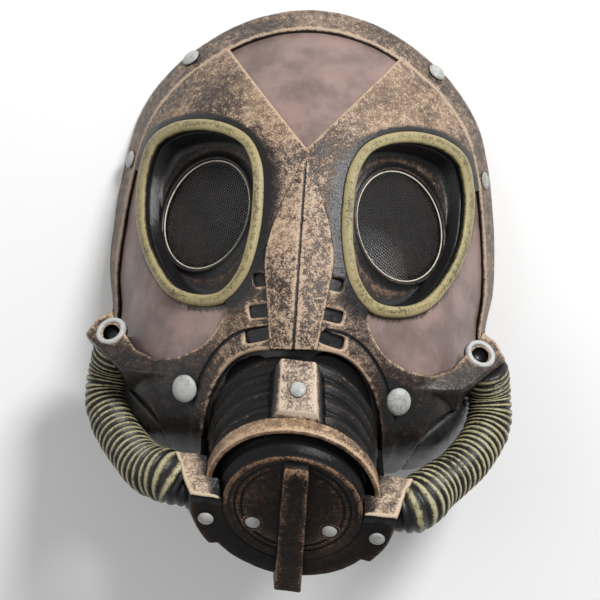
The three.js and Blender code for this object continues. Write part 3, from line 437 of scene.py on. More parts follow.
def paint_material(
    name, dark, wash, paint, bright, cover=0.5, fleck=0.3, grain=1.0, gloss=(0.3, 0.5), bump=0.35, spec=0.4,
    streak=0.0, patch=0.5
):
    """Black latex with a thin wash, a dry-brushed coat and light flecks. The coats catch the raised grain and the
    edges, and stay out of the hollows, steered by two per-point values of the mesh: the edge value, which in places
    also carries painted highlights, and the hollow value, which also carries painted shade near, under and between
    other parts."""
    m = bpy.data.materials.new(name)
    m.use_nodes = True
    t = m.node_tree
    t.nodes.clear()
    link = t.links.new

    def add(kind, **settings):
        n = t.nodes.new(kind)
        for k, v in settings.items():
            setattr(n, k, v)
        return n

    shader = add("ShaderNodeBsdfPrincipled")
    link(shader.outputs[0], add("ShaderNodeOutputMaterial").inputs[0])
    coords = add("ShaderNodeTexCoord").outputs["Object"]
    stretched = add("ShaderNodeMapping")
    stretched.inputs["Scale"].default_value = (1, 1 - 0.75 * streak, 1)
    link(coords, stretched.inputs[0])

    def noise(scale, detail, rough=0.6, source=None):
        n = add("ShaderNodeTexNoise")
        n.inputs["Scale"].default_value = scale
        n.inputs["Detail"].default_value = detail
        n.inputs["Roughness"].default_value = rough
        link(coords if source is None else source, n.inputs["Vector"])
        return n.outputs[0]

    def calc(op, a, b=None):
        n = add("ShaderNodeMath", operation=op)
        for i, v in enumerate((a, b)):
            if isinstance(v, (int, float)):
                n.inputs[i].default_value = v
            elif v is not None:
                link(v, n.inputs[i])
        return n.outputs[0]

    def ramp(value, low, high, to=(0.0, 1.0)):
        n = add("ShaderNodeMapRange", interpolation_type="SMOOTHSTEP")
        for key, v in zip(("From Min", "From Max", "To Min", "To Max"), (low, high, *to)):
            n.inputs[key].default_value = v
        link(value, n.inputs["Value"])
        return n.outputs[0]

    def mix(factor, a, b):
        n = add("ShaderNodeMix", data_type="RGBA")
        link(factor, n.inputs["Factor"])
        for key, v in (("A", a), ("B", b)):
            socket = [i for i in n.inputs if i.name == key and i.type == "RGBA"][0]
            if isinstance(v, tuple):
                socket.default_value = (*v, 1)
            else:
                link(v, socket)
        return [o for o in n.outputs if o.type == "RGBA"][0]

    def total(*terms):
        out = None
        for value, weight in terms:
            term = calc("MULTIPLY", value, weight)
            out = term if out is None else calc("ADD", out, term)
        return out

    # The edge value lightens the coat, partly as worn paint on edges and partly as painted highlight; the hollow
    # value darkens it, partly as black left in hollows and partly as painted shade near and under other parts.
    edge = add("ShaderNodeAttribute", attribute_name="edge").outputs["Fac"]
    hollow_and_shade = add("ShaderNodeAttribute", attribute_name="hollow_and_shade").outputs["Fac"]
    fine = noise(1150 / grain, 3, 0.75, stretched.outputs[0])
    middle = noise(330 / grain, 4, 0.7, stretched.outputs[0])
    broad = noise(38, 4, 0.6)
    wide = noise(13, 2, 0.5)
    field = total(
        (fine, 0.42), (middle, 0.45), (broad, 0.55 * patch), (wide, 0.45 * patch), (edge, 0.13), (hollow_and_shade, -0.42)
    )
    middle_value = 0.435 + 0.5 * patch
    level = middle_value + (0.5 - cover) * 0.42
    washed = ramp(field, level - 0.15, level - 0.03)
    coat = ramp(field, level - 0.02, level + 0.035)
    fleck_field = total((fine, 0.55), (middle, 0.4), (broad, 0.35 * patch), (edge, 0.17), (hollow_and_shade, -0.5))
    fleck_level = 0.475 + 0.175 * patch + (0.5 - fleck) * 0.36
    flecks = ramp(fleck_field, fleck_level - 0.02, fleck_level + 0.05)
    tone = mix(ramp(broad, 0.36, 0.64), tuple(c * 0.72 for c in paint), tuple(min(c * 1.22, 1) for c in paint))
    colour = mix(washed, dark, wash)
    colour = mix(coat, colour, tone)
    colour = mix(flecks, colour, bright)
    link(colour, shader.inputs["Base Color"])
    link(ramp(total((coat, 0.6), (middle, 0.5)), 0.1, 1.0, gloss), shader.inputs["Roughness"])
    shader.inputs["Specular IOR Level"].default_value = spec
    relief = total((middle, 1.0), (fine, 0.5), (coat, 0.25))
    bump_node = add("ShaderNodeBump")
    bump_node.inputs["Strength"].default_value = bump
    bump_node.inputs["Distance"].default_value = 0.001
    link(relief, bump_node.inputs["Height"])
    link(bump_node.outputs[0], shader.inputs["Normal"])
    return m


BLACK = (0.008, 0.0075, 0.008)
bronze = paint_material(
    "bronze_paint", BLACK, (0.042, 0.027, 0.02), (0.15, 0.1, 0.067), (0.42, 0.3, 0.205), cover=0.54, fleck=0.32
)
band_paint = paint_material(
    "band_paint", BLACK, (0.042, 0.028, 0.021), (0.15, 0.104, 0.074), (0.4, 0.3, 0.215), cover=0.52, fleck=0.3
)
copper = paint_material(
    "copper_paint", BLACK, (0.04, 0.025, 0.017), (0.12, 0.073, 0.049), (0.34, 0.23, 0.155), cover=0.44, fleck=0.22
)
dark_copper = paint_material(
    "dark_copper_paint", BLACK, (0.012, 0.008, 0.006), (0.028, 0.015, 0.01), (0.12, 0.068, 0.042), cover=0.36,
    fleck=0.12, spec=0.12
)
disc_paint = paint_material(
    "disc_paint", BLACK, (0.013, 0.008, 0.006), (0.034, 0.018, 0.011), (0.19, 0.11, 0.065), cover=0.4, fleck=0.14,
    spec=0.16
)
collar_paint = paint_material(
    "collar_paint", BLACK, (0.06, 0.038, 0.024), (0.21, 0.13, 0.077), (0.46, 0.315, 0.2), cover=0.66, fleck=0.36
)
ear_paint = paint_material(
    "ear_paint", BLACK, (0.055, 0.037, 0.027), (0.18, 0.122, 0.082), (0.48, 0.37, 0.265), cover=0.66, fleck=0.42,
    gloss=(0.22, 0.4)
)
bar_paint = paint_material(
    "bar_paint", BLACK, (0.011, 0.007, 0.005), (0.026, 0.015, 0.01), (0.2, 0.12, 0.075), cover=0.38, fleck=0.12,
    spec=0.14
)
strap_paint = paint_material(
    "strap_paint", BLACK, (0.055, 0.038, 0.029), (0.18, 0.125, 0.09), (0.5, 0.39, 0.29), cover=0.66, fleck=0.42,
    gloss=(0.22, 0.4)
)
leather = paint_material(
    "leather_paint", (0.04, 0.026, 0.022), (0.115, 0.074, 0.063), (0.205, 0.143, 0.126), (0.31, 0.235, 0.21),
    cover=0.9, fleck=0.12, grain=1.5, gloss=(0.28, 0.42), bump=0.2, streak=1.0, patch=0.35
)
brass = paint_material(
    "brass_paint", BLACK, (0.045, 0.036, 0.016), (0.14, 0.112, 0.05), (0.31, 0.26, 0.13), cover=0.68, fleck=0.3,
    bump=0.25
)
silver = paint_material(
    "silver_paint", BLACK, (0.14, 0.14, 0.135), (0.3, 0.3, 0.285), (0.42, 0.42, 0.405), cover=0.86, fleck=0.3,
    bump=0.25, gloss=(0.3, 0.42)
)
hose_paint = paint_material(
    "hose_paint", BLACK, (0.04, 0.034, 0.017), (0.135, 0.117, 0.056), (0.36, 0.33, 0.2), cover=0.6, fleck=0.34,
    bump=0.35
)
black = paint_material(
    "black_latex", BLACK, (0.014, 0.0135, 0.014), (0.024, 0.0235, 0.025), (0.06, 0.058, 0.06), cover=0.4, fleck=0.14,
    gloss=(0.3, 0.45), bump=0.25, spec=0.35
)
pleat = paint_material(
    "pleat_latex", BLACK, (0.007, 0.0055, 0.005), (0.018, 0.012, 0.009), (0.14, 0.09, 0.055), cover=0.2, fleck=0.06,
    bump=0.35, spec=0.18
)
wire = paint_material(
    "wire_steel", (0.006, 0.005, 0.005), (0.012, 0.009, 0.008), (0.022, 0.017, 0.015), (0.07, 0.058, 0.052),
    cover=0.6, fleck=0.2, bump=0.05, spec=0.3
)
pale_wire = paint_material(
    "pale_wire", (0.08, 0.065, 0.045), (0.25, 0.21, 0.15), (0.4, 0.34, 0.26), (0.55, 0.5, 0.42), cover=0.8, fleck=0.4,
    bump=0.1
)


# Eyes


EYE_COUNT = 144
eye_plan = closed_curve(np.array(EYE_CENTRE) + np.array(EYE_TABLE) * EYE_HALF, EYE_COUNT)
tangent = np.roll(eye_plan, -1, 0) - np.roll(eye_plan, 1, 0)
tangent /= np.linalg.norm(tangent, axis=1, keepdims=True)
inward = np.stack([tangent[:, 1], -tangent[:, 0]], 1)
if ((np.array(EYE_CENTRE) - eye_plan) * inward).sum(1).mean() < 0:
    inward = -inward


def eye_inset(inset):
    return eye_plan + inward * inset


def eye_loop(inset, offset=0.0):
    p = eye_inset(inset)
    return on_face(p[:, 0], p[:, 1], offset)


def eye_slope(step_x, step_y):
    x, y = EYE_CENTRE
    return (face_height(x + step_x, y + step_y) - face_height(x - step_x, y - step_y)) / (2 * (step_x + step_y))


eye_normal = np.array([-eye_slope(EYE_HALF[0], 0), -eye_slope(0, EYE_HALF[1]), 1.0])
eye_normal /= np.linalg.norm(eye_normal)


def flat(v):
    v = np.array(v, float)
    v -= eye_normal * v.dot(eye_normal)
    return v / np.linalg.norm(v)


eye_out, eye_down = flat((1, 0, 0)), flat((0, -1, 0))
eye_floor = eye_loop(0).mean(0) - eye_normal * SOCKET_DEPTH + eye_out * MESH_SHIFT_OUT + eye_down * MESH_SHIFT_DOWN
SIDES = ((1, "right"), (-1, "left"))


def sided(points, side):
    return np.asarray(points, float) * np.array([side, 1, 1])


def onto_floor(loop, drop=0.0):
    return loop - eye_normal * (((loop - eye_floor) @ eye_normal)[:, None] + drop)


def floor_ring(loop, radius, lift=0.0):
    v = onto_floor(loop) - eye_floor
    return eye_floor + v / np.linalg.norm(v, axis=1, keepdims=True) * radius + eye_normal * lift


def build_eye(side, word):
    lift = eye_normal[None, :]
    around = np.linspace(0, 2 * math.pi, EYE_COUNT)
    wobble = 0.18 * bump_noise(np.cos(around) * 30, np.sin(around) * 30, 5, 18)[:, None]
    profile = [
        (0.0, -0.8, 0.0, 1.0), (-0.15, 0.9, 0.2, 0.5), (0.15, 2.2, 0.9, 0.0), (0.9, 3.2, 1.0, 0.0),
        (2.0, 3.55, 0.5, 0.0), (3.2, 3.6, 0.45, 0.0), (4.3, 3.3, 0.9, 0.0), (5.1, 2.5, 1.0, 0.0),
        (5.45, 1.2, 0.3, 0.3), (5.4, -0.6, 0.0, 0.9), (5.2, -2.4, 0.0, 1.0), (2.6, -2.4, 0.0, 1.0)
    ]
    loops = [eye_loop(i) + lift * (h + wobble * (h > 0)) for i, h, _, _ in profile]
    edge, hollow_and_shade = [p[2] for p in profile], [p[3] for p in profile]
    loft(f"eye_frame_{word}_paint", [sided(l, side) for l in loops], edge, hollow_and_shade, closed_rows=True, material=brass)
    # Socket: black wall, a sloping copper floor, and a raised lip round the mesh
    foot_in, foot = eye_loop(7.0), eye_loop(6.6)
    rows = [
        (eye_loop(5.0) - lift * 1.5, 0, 1), (eye_loop(5.6) - lift * 3.0, 0, 1), (onto_floor(foot, -3.2), 0, 1),
        (onto_floor(foot_in, -1.6), 0, 0.8),
        (onto_floor(foot_in, -1.0) * 0.62 + floor_ring(foot_in, MESH_RADIUS + 3.6, 1.0) * 0.38, 0.1, 0.25),
        (onto_floor(foot_in, -1.0) * 0.3 + floor_ring(foot_in, MESH_RADIUS + 3.2, 1.1) * 0.7, 0.3, 0.1),
    ]
    lip = [
        (1.9, 1.0, 0, 1), (1.5, 1.9, 0.3, 0.3), (0.9, 2.2, 0.4, 0.2), (0.2, 1.9, 0.2, 0.5), (-0.1, 1.2, 0, 0.9),
        (0, -0.4, 0, 1), (0, -2.0, 0, 1),
    ]
    rows += [(floor_ring(foot, MESH_RADIUS + r, h), e, d) for r, h, e, d in lip]
    rows += [
        (onto_floor(eye_loop(4.4), 2.0), 0, 1), (eye_loop(2.6) - lift * 3, 0, 1), (eye_loop(2.6) - lift * 1.5, 0, 1),
    ]
    loops, edge, hollow_and_shade = zip(*((sided(l, side), e, d) for l, e, d in rows))
    loft(f"eye_socket_{word}_paint", loops, edge, hollow_and_shade, closed_rows=True, material=copper)
    ring = []
    for k in range(8):
        a = 2 * math.pi * k / 8
        ring.append(sided(floor_ring(foot, MESH_RADIUS - 0.6 + 0.38 * math.cos(a), 0.9 + 0.38 * math.sin(a)), side))
    loft(f"mesh_ring_{word}_wire", ring, [0.6] * 8, [0] * 8, closed_rows=True, material=pale_wire)
    # Fine crossed wires
    pitch, radius, points, faces = 1.3, 0.24, [], []
    reach = MESH_RADIUS + 0.8
    angle = math.radians(28)
    for family in range(2):
        u = eye_out * math.cos(angle + family * math.pi / 2) + eye_down * math.sin(angle + family * math.pi / 2)
        v = np.cross(eye_normal, u)
        for k in range(-int(reach / pitch), int(reach / pitch) + 1):
            half = math.sqrt(max(reach**2 - (k * pitch) ** 2, 0))
            steps = int(2 * half / pitch)
            if steps < 2:
                continue
            t = (np.arange(steps + 1) - steps / 2) * pitch
            phase = np.where((np.arange(steps + 1) + k + family) % 2 == 0, 1.0, -1.0)
            sag = -0.9 * (1 - (t**2 + (k * pitch) ** 2) / reach**2)
            mid = eye_floor + u * t[:, None] + v * (k * pitch) + eye_normal * (phase * 0.16 + sag - 0.2)[:, None]
            corners = [mid + (v * a + eye_normal * b) * radius for a, b in ((1, 0), (0, 1), (-1, 0), (0, -1))]
            start = sum(len(p) for p in points)
            points.append(np.stack(corners, 1).reshape(-1, 3))
            wire_faces = loft_faces(steps + 1, 4) + [(0, 1, 2, 3), tuple(steps * 4 + j for j in (3, 2, 1, 0))]
            faces += [tuple(start + i for i in f) for f in wire_faces]
    all_points = sided(np.vstack(points), side)
    n = len(all_points)
    mesh_object(f"eye_mesh_{word}_wires", all_points, faces, np.full(n, 0.3), np.zeros(n), material=wire)


for side, word in SIDES:
    build_eye(side, word)


# Muzzle axes

straight_out = Vector((0, -math.sin(math.radians(MUZZLE_PITCH)), math.cos(math.radians(MUZZLE_PITCH))))
straight_up = Vector((0, math.cos(math.radians(MUZZLE_PITCH)), math.sin(math.radians(MUZZLE_PITCH))))
out_axis = Matrix.Rotation(math.radians(MUZZLE_LEAN), 3, straight_up) @ straight_out
up_axis = Matrix.Rotation(math.radians(MUZZLE_TWIST), 3, out_axis) @ straight_up
right_axis = up_axis.cross(out_axis)
slant_axis = out_axis + right_axis * MUZZLE_DRIFT
muzzle_front = Vector((0, MUZZLE_Y, MUZZLE_Z)) + (slant_axis - straight_out) * MUZZLE_REACH
MUZZLE = np.array([right_axis, up_axis, slant_axis])


def in_muzzle(right, up, out):
    right, up, out = np.broadcast_arrays(np.asarray(right, float), np.asarray(up, float), np.asarray(out, float))
    return np.stack([right, up, out], -1) @ MUZZLE + np.array(muzzle_front)


def build_canister():
    n = 200
    angles = np.linspace(0, 2 * math.pi, n, endpoint=False)
    loops, edge, hollow_and_shade = [], [], []

    def add(radius, out, e, d):
        loops.append(in_muzzle(radius * np.cos(angles), radius * np.sin(angles), out))
        edge.append(np.broadcast_to(e, (n,)))
        hollow_and_shade.append(np.broadcast_to(d, (n,)))

    # The flat front, as rows of radius, groove and edge
    front = [(r, 0, 0) for r in (0.01, 5, 12, 18)]
    for r in RING_RADII:
        front += [(r - 0.8, 0, 0.45), (r - 0.4, 0.4, 0), (r, 1, 0), (r + 0.4, 0.4, 0), (r + 0.8, 0, 0.45)]
    front.append((29.4, 0, 0))
    for r, groove, e in front:
        up = smooth((r * np.sin(angles) + 7) / 14)
        relief = 0.05 * bump_noise(r * np.cos(angles), r * np.sin(angles), 3, 9)
        add(r, -0.42 - 1.2 * up - 0.75 * groove + relief, e, groove)
    # Its rim, raised in the upper half: radius, rise, sink, edge above, hollow, hollow above
    rim = [
        (30.1, 0.2, 0, 0, 0, 0.7), (30.5, 1.25, 0, 0.8, 0, 0), (31.0, 1.6, 0, 0.9, 0, 0), (31.8, 1.6, 0, 0.9, 0, 0),
        (32.4, 1.5, 0.02, 1.0, 0.2, -0.2), (32.75, 0.9, 0.1, 0.9, 0.5, -0.5),
    ]
    for r, rise, sink, e, d, d_up in rim:
        up = smooth((r * np.sin(angles) + 7) / 14)
        add(r, -0.42 - 1.2 * up + rise * up - sink, e * up, d + d_up * up)
    # The stepped wall behind it, darkened with painted shade in the recess under the collar, with its steps lightened
    # as painted highlight lines: radius, out, step above the middle, edge, hollow and shade
    r, back = CANISTER_RADIUS, BELLOWS_FRONT + 0.35
    wall = [
        (r, -3.0, 0, 0.2, 0.6), (r, -4.5, 0, 0, 1.1), (r, -6.4, 1.2, 0, 1.1), (r, -7.2, 1.7, 0.5, 0.55),
        (r, -8.2, 1.7, 0.5, 0.55), (r, -8.8, 1.3, 0, 1.1), (r, -11.5, 1.2, 0, 1.1), (r, -12.2, 2.4, 0.5, 0.55),
        (r, -15, 2.5, 0, 1.1), (r, back, 2.5, 0, 1.1), (30.3, back, 0, 0, 1.1), (30.3, -4.5, 0, 0, 1.1),
        (0.01, -4.5, 0, 0, 1.1),
    ]
    for r, out, step, e, d in wall:
        add(r + step * smooth((np.sin(angles) * r - 3) / 6), out, e, d)
    loft("canister_disc", loops, np.array(edge), np.array(hollow_and_shade), material=disc_paint)


def build_collar():
    profile = np.array([
        (38.5, -10.2), (38.8, -9.7), (39.5, -9.55), (40.4, -9.6), (40.85, -9.95), (41.05, -10.6), (41.1, -12),
        (41.0, -13.5), (41.0, -15), (41.05, -16.3), (41.1, -17.3), (40.9, -18.1), (40.3, -18.6), (39.6, -18.7),
        (38.6, -18.5), (38.4, -15),
    ])
    edge = [0, 0.9, 0.1, 0.1, 1.0, 0.6, 0.3, 0.1, 0.1, 0.1, 0.2, 0.2, 0.1, 0, 0, 0]
    hollow_and_shade = [0.8, 0.2, 0, 0, 0, 0, 0, 0, 0, 0, 0, 0.1, 0.6, 1, 1, 1]
    rows = []
    for a in np.radians(np.linspace(4, 176, 173)):
        radius, out = profile[:, 0].copy(), profile[:, 1]
        radius += 0.12 * bump_noise(np.full(len(out), a * 40), out, 8, 16)
        rows.append(in_muzzle(radius * math.cos(a), radius * math.sin(a), out))
    values = [np.tile(v, (len(rows), 1)) for v in (edge, hollow_and_shade)]
    strip("muzzle_collar_band", rows, *values, material=collar_paint)


def ear_mask(angle):
    """1 at the sides of the guard, 0 below the ears; angle below the horizontal in degrees."""
    side = np.minimum(angle, 180 - angle)
    return smooth((EAR_SPREAD + 1.5 - side) / 3)


def face_hit(right, up, start=0.0, deepest=-90.0, tries=22):
    """How far behind the canister's front a line along the muzzle's axis meets the face, or deepest."""

    def outside(out):
        x, y, z = in_muzzle(right, up, np.array(out))
        return z > face_height(x, y)

    low, high = deepest, start
    if outside(low):
        return deepest
    for _ in range(tries):
        mid = (low + high) / 2
        low, high = (low, mid) if outside(mid) else (mid, high)
    return high


def build_guard():
    degrees = np.linspace(0, 180, 217)
    rows, edge, hollow_and_shade = [], [], []
    depth_steps = np.concatenate(
        [[0, 0.25, 0.7, 1.5, 3, 6, 10, 14, 17.5, 19.5, 20.4, 21.2, 22.2, 24, 30, 38, 46], np.linspace(52, GUARD_DEPTH,
        3)]
    )
    for deg in degrees:
        a = -math.radians(deg)
        mask = float(ear_mask(deg))
        radius = GUARD_RADIUS + (EAR_RADIUS - GUARD_RADIUS) * mask
        wave = 0.35 * float(bump_noise(np.array(deg), np.array(0.0), 21, 40))
        pts, e, d = [], [], []

        def put(r, c, ev, dv):
            pts.append(
                (r * math.cos(a), r * math.sin(a) - EAR_TOP_DROP * max(0, 1 - deg / 30, 1 - (180 - deg) / 30), c)
            )
            e.append(ev)
            d.append(dv)

        side_top = max(0.0, 1 - min(deg, 180 - deg) / 1.2)
        put(32.5, -0.5, 0.25 * side_top, 0.35)
        put(34.2, -0.36, 0.5 * side_top, 0.0)
        put((34.2 + radius) / 2, -0.34, 0.0, 0.25)
        put(radius - 1.6 + wave, -0.36, 0.25 + 0.4 * side_top, 0)
        stop = min(face_hit(radius * math.cos(a), radius * math.sin(a), -20), -20) + 0.4
        stop = max(stop, -GUARD_DEPTH)
        for k, s in enumerate(depth_steps):
            r = radius + wave
            if s < 0.2:
                r -= 0.7
            elif s < 0.5:
                r -= 0.25
            back = smooth((s - EAR_DEPTH + 1.2) / 2.4)
            r += EAR_FLARE * min(s, EAR_DEPTH) * mask
            r = r * (1 - back) + (GUARD_RADIUS + wave) * back
            c = max(-0.42 - s, stop)
            put(r, c, 0.75 if s < 1 else (0.35 if s < 2 else 0.1), 0.0 if s < 3 else min(0.7, 0.15 + s / 60))
        end = max(-0.42 - depth_steps[-1], stop)
        inner = GUARD_RADIUS - 4.5
        put(inner, end, 0, 1)
        put(inner, min(-22, end + 4) if end < -26 else end, 0, 1)
        put(33.6, -19, 0, 1)
        put(33.4, -4, 0, 1)
        pts = np.array(pts)
        rows.append(in_muzzle(pts[:, 0], pts[:, 1], pts[:, 2]))
        edge.append(e)
        hollow_and_shade.append(d)
    strip("chin_guard_shell", rows, edge, hollow_and_shade, material=dark_copper)


def rounded_section(half_low, half_high, low, high, radius=1.0, steps=4):
    """Cross-section with rounded upper corners, as (across, up, edge, deep) rows."""
    out = [(-half_low, low, 0, 1), (-(half_low * 0.45 + half_high * 0.55), low * 0.45 + high * 0.55, 0, 0.55)]
    slope = math.atan2(half_low - half_high, high - low)
    for s in (-1, 1):
        rows = []
        for k in range(steps + 1):
            t = k / steps
            a = (math.pi / 2 - slope) * (1 - t)
            rows.append(
                (s * (half_high - radius + radius * math.sin(a)), high - radius + radius * math.cos(a),
                1 - abs(t - 0.5), 0)
            )
        out += rows if s < 0 else rows[::-1]
        if s < 0:
            out += [(f * half_high, high, 0.1, 0) for f in (-0.55, -0.2, 0.2, 0.55)]
    out += [((half_low * 0.45 + half_high * 0.55), low * 0.45 + high * 0.55, 0, 0.55), (half_low, low, 0, 1)]
    return np.array(out)


def build_ears():
    """Ledges on the guard's ears: front ends dark like the guard, bright tops that rise and flare to the back."""
    for side, word in SIDES:
        rows, edge, hollow_and_shade = [], [], []
        outs = np.concatenate(
            [[0, 0.1, 0.35, 0.8], np.linspace(1.6, 9.6, 9), [10.0, 10.4], np.linspace(11.4, EAR_DEPTH - 0.8, 9),
            [EAR_DEPTH - 0.25, EAR_DEPTH]]
        )
        for k, depth in enumerate(outs):
            base = -EAR_TOP_DROP - 1.6
            t = depth / EAR_DEPTH
            top = EAR_FRONT_RISE + (EAR_BACK_RISE - EAR_FRONT_RISE) * t**1.15
            top += 0.16 * float(bump_noise(np.array(depth), np.array(side * 4.0), 5, 44))
            drop = {0: 0.75, 1: 0.4, 2: 0.1}.get(k, 0) + {0: 0.8, 1: 0.2}.get(len(outs) - 1 - k, 0)
            inner = depth < 10.2
            near = 33.1 if inner else 38.2 + 2.4 * float(smooth((depth - 17) / 2))
            far = EAR_RADIUS + EAR_FLARE * depth + 0.3 * math.sin(depth * 0.33 + side)
            dip = (0.9 if side < 0 else 0.45) if inner else 0.1
            section = [(near, base), (near, top - drop - dip - 0.4), (near + 0.6, top - drop - dip)]
            for f in (0.16, 0.3, 0.42, 0.55, 0.7, 0.85):
                hollow = dip * (1 - float(smooth(f / 0.42)))
                section.append((near + (far - near) * f, top - drop - hollow + 0.12 * math.sin(9 * f + depth * 0.5)))
            section += [
                (far - 1.0, top - drop + 0.25), (far - 0.35, top - drop + 0.1), (far, top - drop - 0.5),
                (far + 0.15, top - drop - 1.6), (far + 0.2, base),
            ]
            q = np.array(section)
            rows.append(in_muzzle(side * q[:, 0], q[:, 1], np.full(len(q), -0.3 - depth)))
            front = 1.0 if k in (1, 2, 3) else 0.0
            wear = 0.25 * (1 - t)
            edge.append([0, 0.2, 0.4 + front] + [front + wear] * 6 + [0.9, 1.2, 0.9, 0, 0])
            pit = (1.2 if side < 0 else 0.5) * (1 if inner else 0.6)
            # The outer side face is darkened towards its foot with painted shadow between the ledge and the hose.
            hollow_and_shade.append(
                [1.6, pit, pit, pit * 0.8 * (1 - front), pit * 0.35 * (1 - front), 0, 0, 0, 0, 0, 0, 0.1, 1.3, 1.6]
            )
        obj = strip(f"guard_ear_{word}_block", rows, edge, hollow_and_shade, material=ear_paint)
        obj.data.materials.append(dark_copper)
        for poly in obj.data.polygons:
            if len(poly.vertices) > 8:
                poly.material_index = 1


def build_bar():
    half, high = BAR_WIDTH / 2, BAR_HEIGHT
    rows, edge, hollow_and_shade = [], [], []
    low, high_end = -BAR_BOTTOM + np.array([0, 0.15, 0.5, 1.2]), BAR_TOP - np.array([1.6, 0.8, 0.3, 0])
    ups = np.concatenate([low, np.linspace(-BAR_BOTTOM + 3, BAR_TOP - 3, 40), high_end])
    for up in ups:
        from_low, from_top = up + BAR_BOTTOM, BAR_TOP - up
        pinch = 0.7 * max(0, 1 - from_low / 1.2) ** 2 + 0.7 * max(0, 1 - from_top / 1.6) ** 2
        top = high - pinch - 0.9 * float(smooth((4.5 - from_top) / 6))
        h = half - 0.35 * (up / 40) - pinch * 0.6 + 0.12 * math.sin(up * 0.35)
        r = 0.9
        section = [
            (-h - 0.5, -0.9), (-h - 0.15, 2.2), (-h, top - r), (-h + 0.25 * r, top - 0.25 * r), (-h + r, top),
            (-h * 0.4, top - 0.1), (0, top - 0.14), (h * 0.4, top - 0.1), (h - r, top),
            (h - 0.25 * r, top - 0.25 * r), (h, top - r), (h + 0.15, 2.2), (h + 0.5, -0.9)
        ]
        s = np.array(section)
        rows.append(in_muzzle(s[:, 0], np.full(len(s), up), s[:, 1]))
        lit = 1.3 * max(0, 1 - from_top / 5) + 0.5 * max(0, 1 - from_low / 1.5)
        edge.append(np.minimum(np.array([0, 0, 0.5, 0.9, 0.7, 0.15, 0.05, 0.15, 0.7, 0.9, 0.5, 0, 0]) + lit, 1.2))
        hollow_and_shade.append([1, 0.6, 0.1, 0, 0, 0, 0, 0, 0, 0, 0.1, 0.6, 1])
    strip("centre_bar_moulding", rows, edge, hollow_and_shade, material=bar_paint)


def build_strap():
    rows, edge, hollow_and_shade = [], [], []
    ts = np.concatenate([[0, 0.01, 0.03], np.linspace(0.07, 0.9, 22), [0.95, 0.975, 0.99, 1.0]])
    for t in ts:
        out = STRAP_FRONT - STRAP_LENGTH * (1 - t)
        up = STRAP_HIGH + (STRAP_LOW - STRAP_HIGH) * t
        face = (16.4 + (STRAP_FACE - 16.4) * t) / 2
        spread = STRAP_BASE / 2 * (0.9 + 0.1 * t)
        drop = 0.6 * max(0, 1 - (1 - t) / 0.03) + 0.4 * max(0, 1 - t / 0.03)
        s = rounded_section(spread, face, up - 9.5, up - drop, 0.9)
        rows.append(in_muzzle(s[:, 0], s[:, 1], np.full(len(s), out)))
        edge.append(np.minimum(s[:, 2] + 0.8 * max(0, 1 - (1 - t) / 0.05), 1.2))
        hollow_and_shade.append(s[:, 3])
    strip("strap_block_moulding", rows, edge, hollow_and_shade, material=strap_paint)


def build_bellows():
    per, n = 14, 160
    total = BELLOWS_FOLDS * per
    loops, edge, hollow_and_shade = [], [], []
    angles = np.arange(n) * 2 * math.pi / n

    def ring(share, out, thinner, fold):
        mix = lambda f, b: f + (b - f) * share - thinner - fold
        width, under = mix(BELLOWS_FRONT_RADIUS, BELLOWS_BASE[0]), BELLOWS_UNDER_RADIUS - thinner - fold
        top = mix(BELLOWS_FRONT_RADIUS + 1, BELLOWS_BASE[1])
        up = np.where(np.sin(angles) > 0, top, under)
        sag = 0.25 * bump_noise(angles * 20, np.full(n, share * 60), 4, 14)
        return in_muzzle((width + sag) * np.cos(angles), (up + sag) * np.sin(angles), np.full(n, out))

    for i in range(total + 1):
        share = i / total
        phase = (i % per) / per
        fold = BELLOWS_FOLD_DEPTH * (1 - abs(math.sin(math.pi * phase)) ** 0.8)
        pleat_line = 0.35 if i % per in (5, 9) else 0
        loops.append(ring(share, BELLOWS_FRONT - share * BELLOWS_LENGTH * BELLOWS_FOLD_SHARE, 0, fold + pleat_line))
        edge.append(max(0, math.sin(math.pi * phase)) ** 3 * (0 if pleat_line else 0.7))
        hollow_and_shade.append(max(0.0, 1 - 2.2 * math.sin(math.pi * phase)) + (0.6 if pleat_line else 0))
    loops.append(ring(1, BELLOWS_BACK, 0, 0))
    fold_end = BELLOWS_FRONT - BELLOWS_LENGTH * BELLOWS_FOLD_SHARE
    loops += [ring(share, out, 4.5, 0) for share, out in ((1, BELLOWS_BACK), (1, fold_end), (0.1, BELLOWS_FRONT - 4))]
    loops += [in_muzzle(30 * np.cos(angles), 30 * np.sin(angles), out) for out in (BELLOWS_FRONT - 3, BELLOWS_FRONT)]
    edge += [0] * 6
    hollow_and_shade += [1] * 6
    # The part that would show inside the face is trimmed to the face's inner skin.
    loops = np.array(loops)
    loops[..., 2] = np.maximum(loops[..., 2], face_height(loops[..., 0], loops[..., 1]) - 3.4)
    loft("muzzle_bellows_folds", loops, edge, hollow_and_shade, closed_rows=True, material=pleat)


# Hoses


def hose_route(side):
    rows = [(side * x + HOSE_LEAN, y, z) for x, y, z in HOSE_ROUTE]
    for across, up, out in HOSE_END:
        rows.append(tuple(in_muzzle(side * across, up, out)))
    return np.array(rows)


def open_curve(points, count, rise=1.0):
    """A smooth line through points, divided evenly with its rises counted by the share rise."""
    pts = np.asarray(points, float)
    pts = np.vstack([2 * pts[0] - pts[1], pts, 2 * pts[-1] - pts[-2]])
    fine = [curve_at(*pts[k - 1 : k + 3], w) for k in range(1, len(pts) - 2) for w in np.arange(0, 1, 1 / 40)]
    fine = np.array(fine + [pts[-2]])
    at = np.concatenate([[0], np.cumsum(np.linalg.norm(np.diff(fine, axis=0) * (1, 1, rise), axis=1))])
    return np.stack([np.interp(np.linspace(0, at[-1], count), at, fine[:, i]) for i in range(3)], 1)


